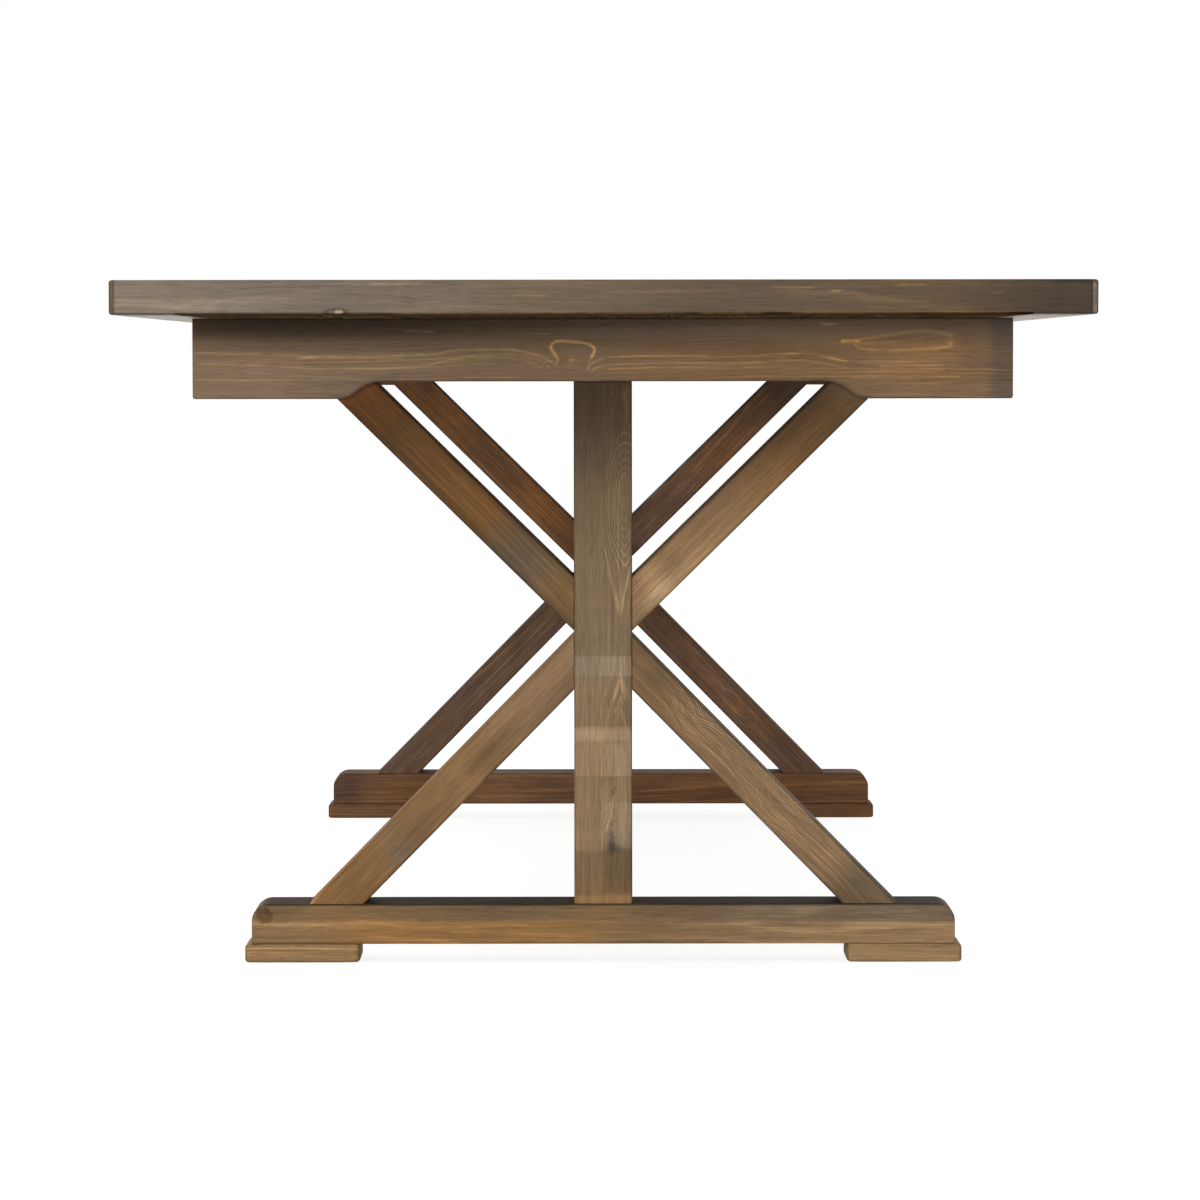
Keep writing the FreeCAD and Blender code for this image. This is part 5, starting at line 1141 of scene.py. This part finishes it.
for end, s in (("front", 1), ("rear", -1)):
    out = (0, -s, 0)
    y = -s * 0.761
    wood = M_post if s > 0 else M_rear_stain_and_shade
    legs = M_brace if s > 0 else M_rear_stain_and_shade
    base = 31 if s > 0 else 51
    board(end + "_post_wood", end + "_post", wood, (0.617, 0.066, 0.066), axes((0, y, 0.3755), (0, 0, 1), out),
          step=(0.0032, 0.0016, 0.005) if s > 0 else (0.008, 0.005, 0.008), arris=0.0018, end_arris=0.0004, seed=base,
          more_u=[0.0755 - 0.3755, 0.0775 - 0.3755] + ([0.126 - 0.3755 + 0.0011 * k for k in range(80)] if s > 0 else []),
          more_v=[-0.0148 + 0.0008 * k for k in range(22)] if s > 0 else (),
          grain=dict(radius=post_radius, pitch=0.0038, warp=0.0006, fine=0.00035, gain=post_gain, mark=post_mark if s > 0 else None),
          knots=() if s > 0 else ((0.05, 0.006, 0.008, 1.3),), tone=post_tone_and_painted_shade if s > 0 else None)
    for side, t in (("left", -1), ("right", 1)):
        for kind, pts in (("upper", UPPER), ("lower", LOWER)):
            n = base + 1 + (side == "right") + 2 * (kind == "lower")
            f4, size, warp = mitred(*[(x * t, z) for x, z in pts], out, y)
            loops = s < 0 and kind == "lower" and side == "right"
            board("%s_%s_brace_%s_wood" % (end, kind, side), "%s_%s_brace_%s" % (end, kind, side), legs, size, f4,
                  step=(0.0042, 0.0026, 0.006) if s > 0 else (0.008, 0.006, 0.008), arris=0.0018, end_arris=0.0004, warp=warp, seed=n,
                  more_u=[-0.032 + 0.0016 * k for k in range(88)] if loops else (), more_v=[-0.013 + 0.0013 * k for k in range(21)] if loops else (),
                  grain=dict(v0=(0.05, -0.02, 0.008, -0.06)[n % 4], w0=(-0.05, -0.03, -0.012, -0.045)[(n + 1) % 4],
                             tv=(0.02, -0.03, 0.025, 0.01)[n % 4], tw=0.03, wob=0.006, warp=0.0022 if s < 0 or side == "left" else 0.0006,
                             pitch=((0.0022 if kind == "upper" else 0.0026) if side == "right" else 0.0044) if s > 0 else (0.0048, 0.0040, 0.0055, 0.0044)[n % 4],
                             radius=brace_radius(kind, side) if s > 0 else None, gain=brace_gain(kind, side, size[0]) if s > 0 else None,
                             mark=loops_mark if loops else None),
                  tone=brace_tone_and_painted_shade(kind, side, s > 0, size[0], size[1] / 2))
    board(end + "_foot_beam_wood", end + "_foot_beam", M_foot if s > 0 else M_rear_stain_and_shade, (0.798, 0.046, 0.066),
          axes((0, y, 0.044), (s, 0, 0), out), step=(0.0055, 0.0042, 0.006), arris=0.0018, end_arris=0.0018,
          corners=(0.0018, 0.0018, 0.020, 0.020), seed=base + 6,
          more_u=[-0.398 + 0.0013 * k for k in range(22)] if s > 0 else (), more_v=[-0.002 + 0.0013 * k for k in range(18)] if s > 0 else (),
          grain=dict(v0=0.012, w0=-0.070, tv=-0.010, tw=0.006, pitch=0.0036, wob=0.006, warp=0.0018),
          tone=foot_tone_and_painted_shade(s > 0))
    for side, t in (("left", -1), ("right", 1)):
        # u points outwards from the table's middle
        x = (0.276 + 0.407) / 2 * t
        board("%s_foot_pad_%s_wood" % (end, side), "%s_foot_pad_%s" % (end, side), M_pad if s > 0 else M_rear_stain_and_shade,
              (0.131, 0.066, 0.021), axes((x, y, 0.0105), (t, 0, 0), (0, 0, 1)), step=(0.005, 0.006, 0.0035),
              arris=0.005, end_arris=0.005, radius_of=pad_radius, corners=(0.007,) * 4, seed=base + 7 + (t > 0),
              grain=dict(v0=0.05, w0=-0.06, tv=0.0, tw=0.01, pitch=0.0042, wob=0.003, warp=0.0012), sway=0.0001,
              tone=(lambda u, v, w, t=t: (0.015 - 0.055 * t + 0 * u, -0.045 - 0.175 * t + 0 * u)) if s > 0 else None)

board("stretcher_wood", "stretcher", M_low, (1.456, 0.045, 0.090), axes((0, 0, 0.376), (0, 1, 0), (0, 0, 1)),
      step=(0.009, 0.006, 0.006), arris=0.004, end_arris=0.0004, seed=71,
      grain=dict(v0=0.07, w0=-0.03, tv=0.006, tw=0.01, pitch=0.0046, wob=0.010))

# ----------------------------------------------------------------------------------------------------------------------
# Carried-over CAD nodes get their materials
# ----------------------------------------------------------------------------------------------------------------------


def dress(node, mat):
    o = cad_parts[node]
    o.data.materials.clear()
    o.data.materials.append(mat)


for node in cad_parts:
    if "screws" in node:
        dress(node, M_steel)
    elif "pegs" in node or "dowels" in node or "splines" in node:
        dress(node, M_peg)
    elif "top_rail" in node or node == "middle_batten":
        dress(node, M_rail)

# ----------------------------------------------------------------------------------------------------------------------
# Studio: pale floor, soft light
# ----------------------------------------------------------------------------------------------------------------------

# The floor shows white, as the photograph's ground does, and throws only a little light back up
fm = Nodes("studio_floor")
tc = fm.new("ShaderNodeTexCoord")
mottle = fm.noise(fm.vec("MULTIPLY", tc.outputs["Object"], (3.0, 3.0, 3.0)), 2.0)
sh = fm.new("ShaderNodeBsdfPrincipled")
sh.inputs["Roughness"].default_value = 0.9
sh.inputs["Specular IOR Level"].default_value = 0.1
fm.put(sh.inputs["Base Color"], fm.mix(mottle, (0.30, 0.30, 0.30), (0.32, 0.32, 0.318)))
sh.inputs["Emission Color"].default_value = (1, 1, 1, 1)
ray = fm.new("ShaderNodeLightPath")
fm.put(sh.inputs["Emission Strength"], fm.mad(ray.outputs["Is Glossy Ray"], 1.40, fm.mul(ray.outputs["Is Camera Ray"], 0.84)))
outn = fm.new("ShaderNodeOutputMaterial")
fm.put(outn.inputs[0], sh.outputs[0])
fme = bpy.data.meshes.new("studio_floor")
ring_n = 96
verts = [(0.0, 0.0, -0.0004)] + [(14 * math.cos(2 * math.pi * k / ring_n), 14 * math.sin(2 * math.pi * k / ring_n), -0.0004) for k in range(ring_n)]
fme.from_pydata(verts, [], [(0, 1 + k, 1 + (k + 1) % ring_n) for k in range(ring_n)])
fme.materials.append(fm.mat)
floor = bpy.data.objects.new("studio_floor", fme)
scene.collection.objects.link(floor)

# Surroundings: white to look at; as light, a lit backdrop behind the table and a dimmer room in front of it
world = bpy.data.worlds.new("studio")
scene.world = world
world.use_nodes = True
wt = world.node_tree
wt.nodes.clear()


def wnode(kind, **props):
    n = wt.nodes.new(kind)
    for k, v in props.items():
        setattr(n, k, v)
    return n


coords = wnode("ShaderNodeTexCoord")
split = wnode("ShaderNodeSeparateXYZ")
wt.links.new(coords.outputs["Generated"], split.inputs[0])
backdrop = wnode("ShaderNodeMapRange", interpolation_type="SMOOTHSTEP")
for k, q in enumerate((0.15, 0.85, 0.0, 0.60)):
    backdrop.inputs[1 + k].default_value = q
wt.links.new(split.outputs[1], backdrop.inputs[0])
ceiling = wnode("ShaderNodeMapRange", interpolation_type="SMOOTHSTEP")
for k, q in enumerate((-0.10, 0.70, 0.12, 0.42)):
    ceiling.inputs[1 + k].default_value = q
wt.links.new(split.outputs[2], ceiling.inputs[0])
both_w = wnode("ShaderNodeMath", operation="ADD")
wt.links.new(backdrop.outputs[0], both_w.inputs[0])
wt.links.new(ceiling.outputs[0], both_w.inputs[1])
bg_light = wnode("ShaderNodeBackground")
bg_light.inputs[0].default_value = (1, 1, 1, 1)
wt.links.new(both_w.outputs[0], bg_light.inputs[1])
bg_seen = wnode("ShaderNodeBackground")
bg_seen.inputs[0].default_value = (1, 1, 1, 1)
bg_seen.inputs[1].default_value = 1.0
path = wnode("ShaderNodeLightPath")
mixw = wnode("ShaderNodeMixShader")
outw = wnode("ShaderNodeOutputWorld")
wt.links.new(path.outputs["Is Camera Ray"], mixw.inputs[0])
wt.links.new(bg_light.outputs[0], mixw.inputs[1])
wt.links.new(bg_seen.outputs[0], mixw.inputs[2])
wt.links.new(mixw.outputs[0], outw.inputs[0])


def softbox(name, at, towards, size, watts, colour=(1, 1, 1)):
    d = bpy.data.lights.new(name, "AREA")
    d.shape = "RECTANGLE"
    d.size, d.size_y = size
    d.energy = watts
    d.color = colour
    o = bpy.data.objects.new(name, d)
    o.location = at
    o.rotation_euler = (Vector(towards) - Vector(at)).to_track_quat("-Z", "Y").to_euler()
    scene.collection.objects.link(o)
    return o


softbox("front_softbox", (-0.5, -5.75, 0.99), (0.0, -0.8, 0.9), (3.0, 0.38), 150)
softbox("overhead_softbox", (-0.5, -1.2, 4.2), (0.0, -0.2, 0.0), (5.0, 5.0), 200)
softbox("left_softbox", (-5.2, -0.6, 1.7), (0.0, 0.0, 0.4), (3.0, 2.0), 70)
softbox("right_softbox", (5.2, 0.4, 1.7), (0.0, 0.0, 0.4), (3.0, 2.0), 45)

scene.view_settings.view_transform = "Standard"
scene.view_settings.look = "None"
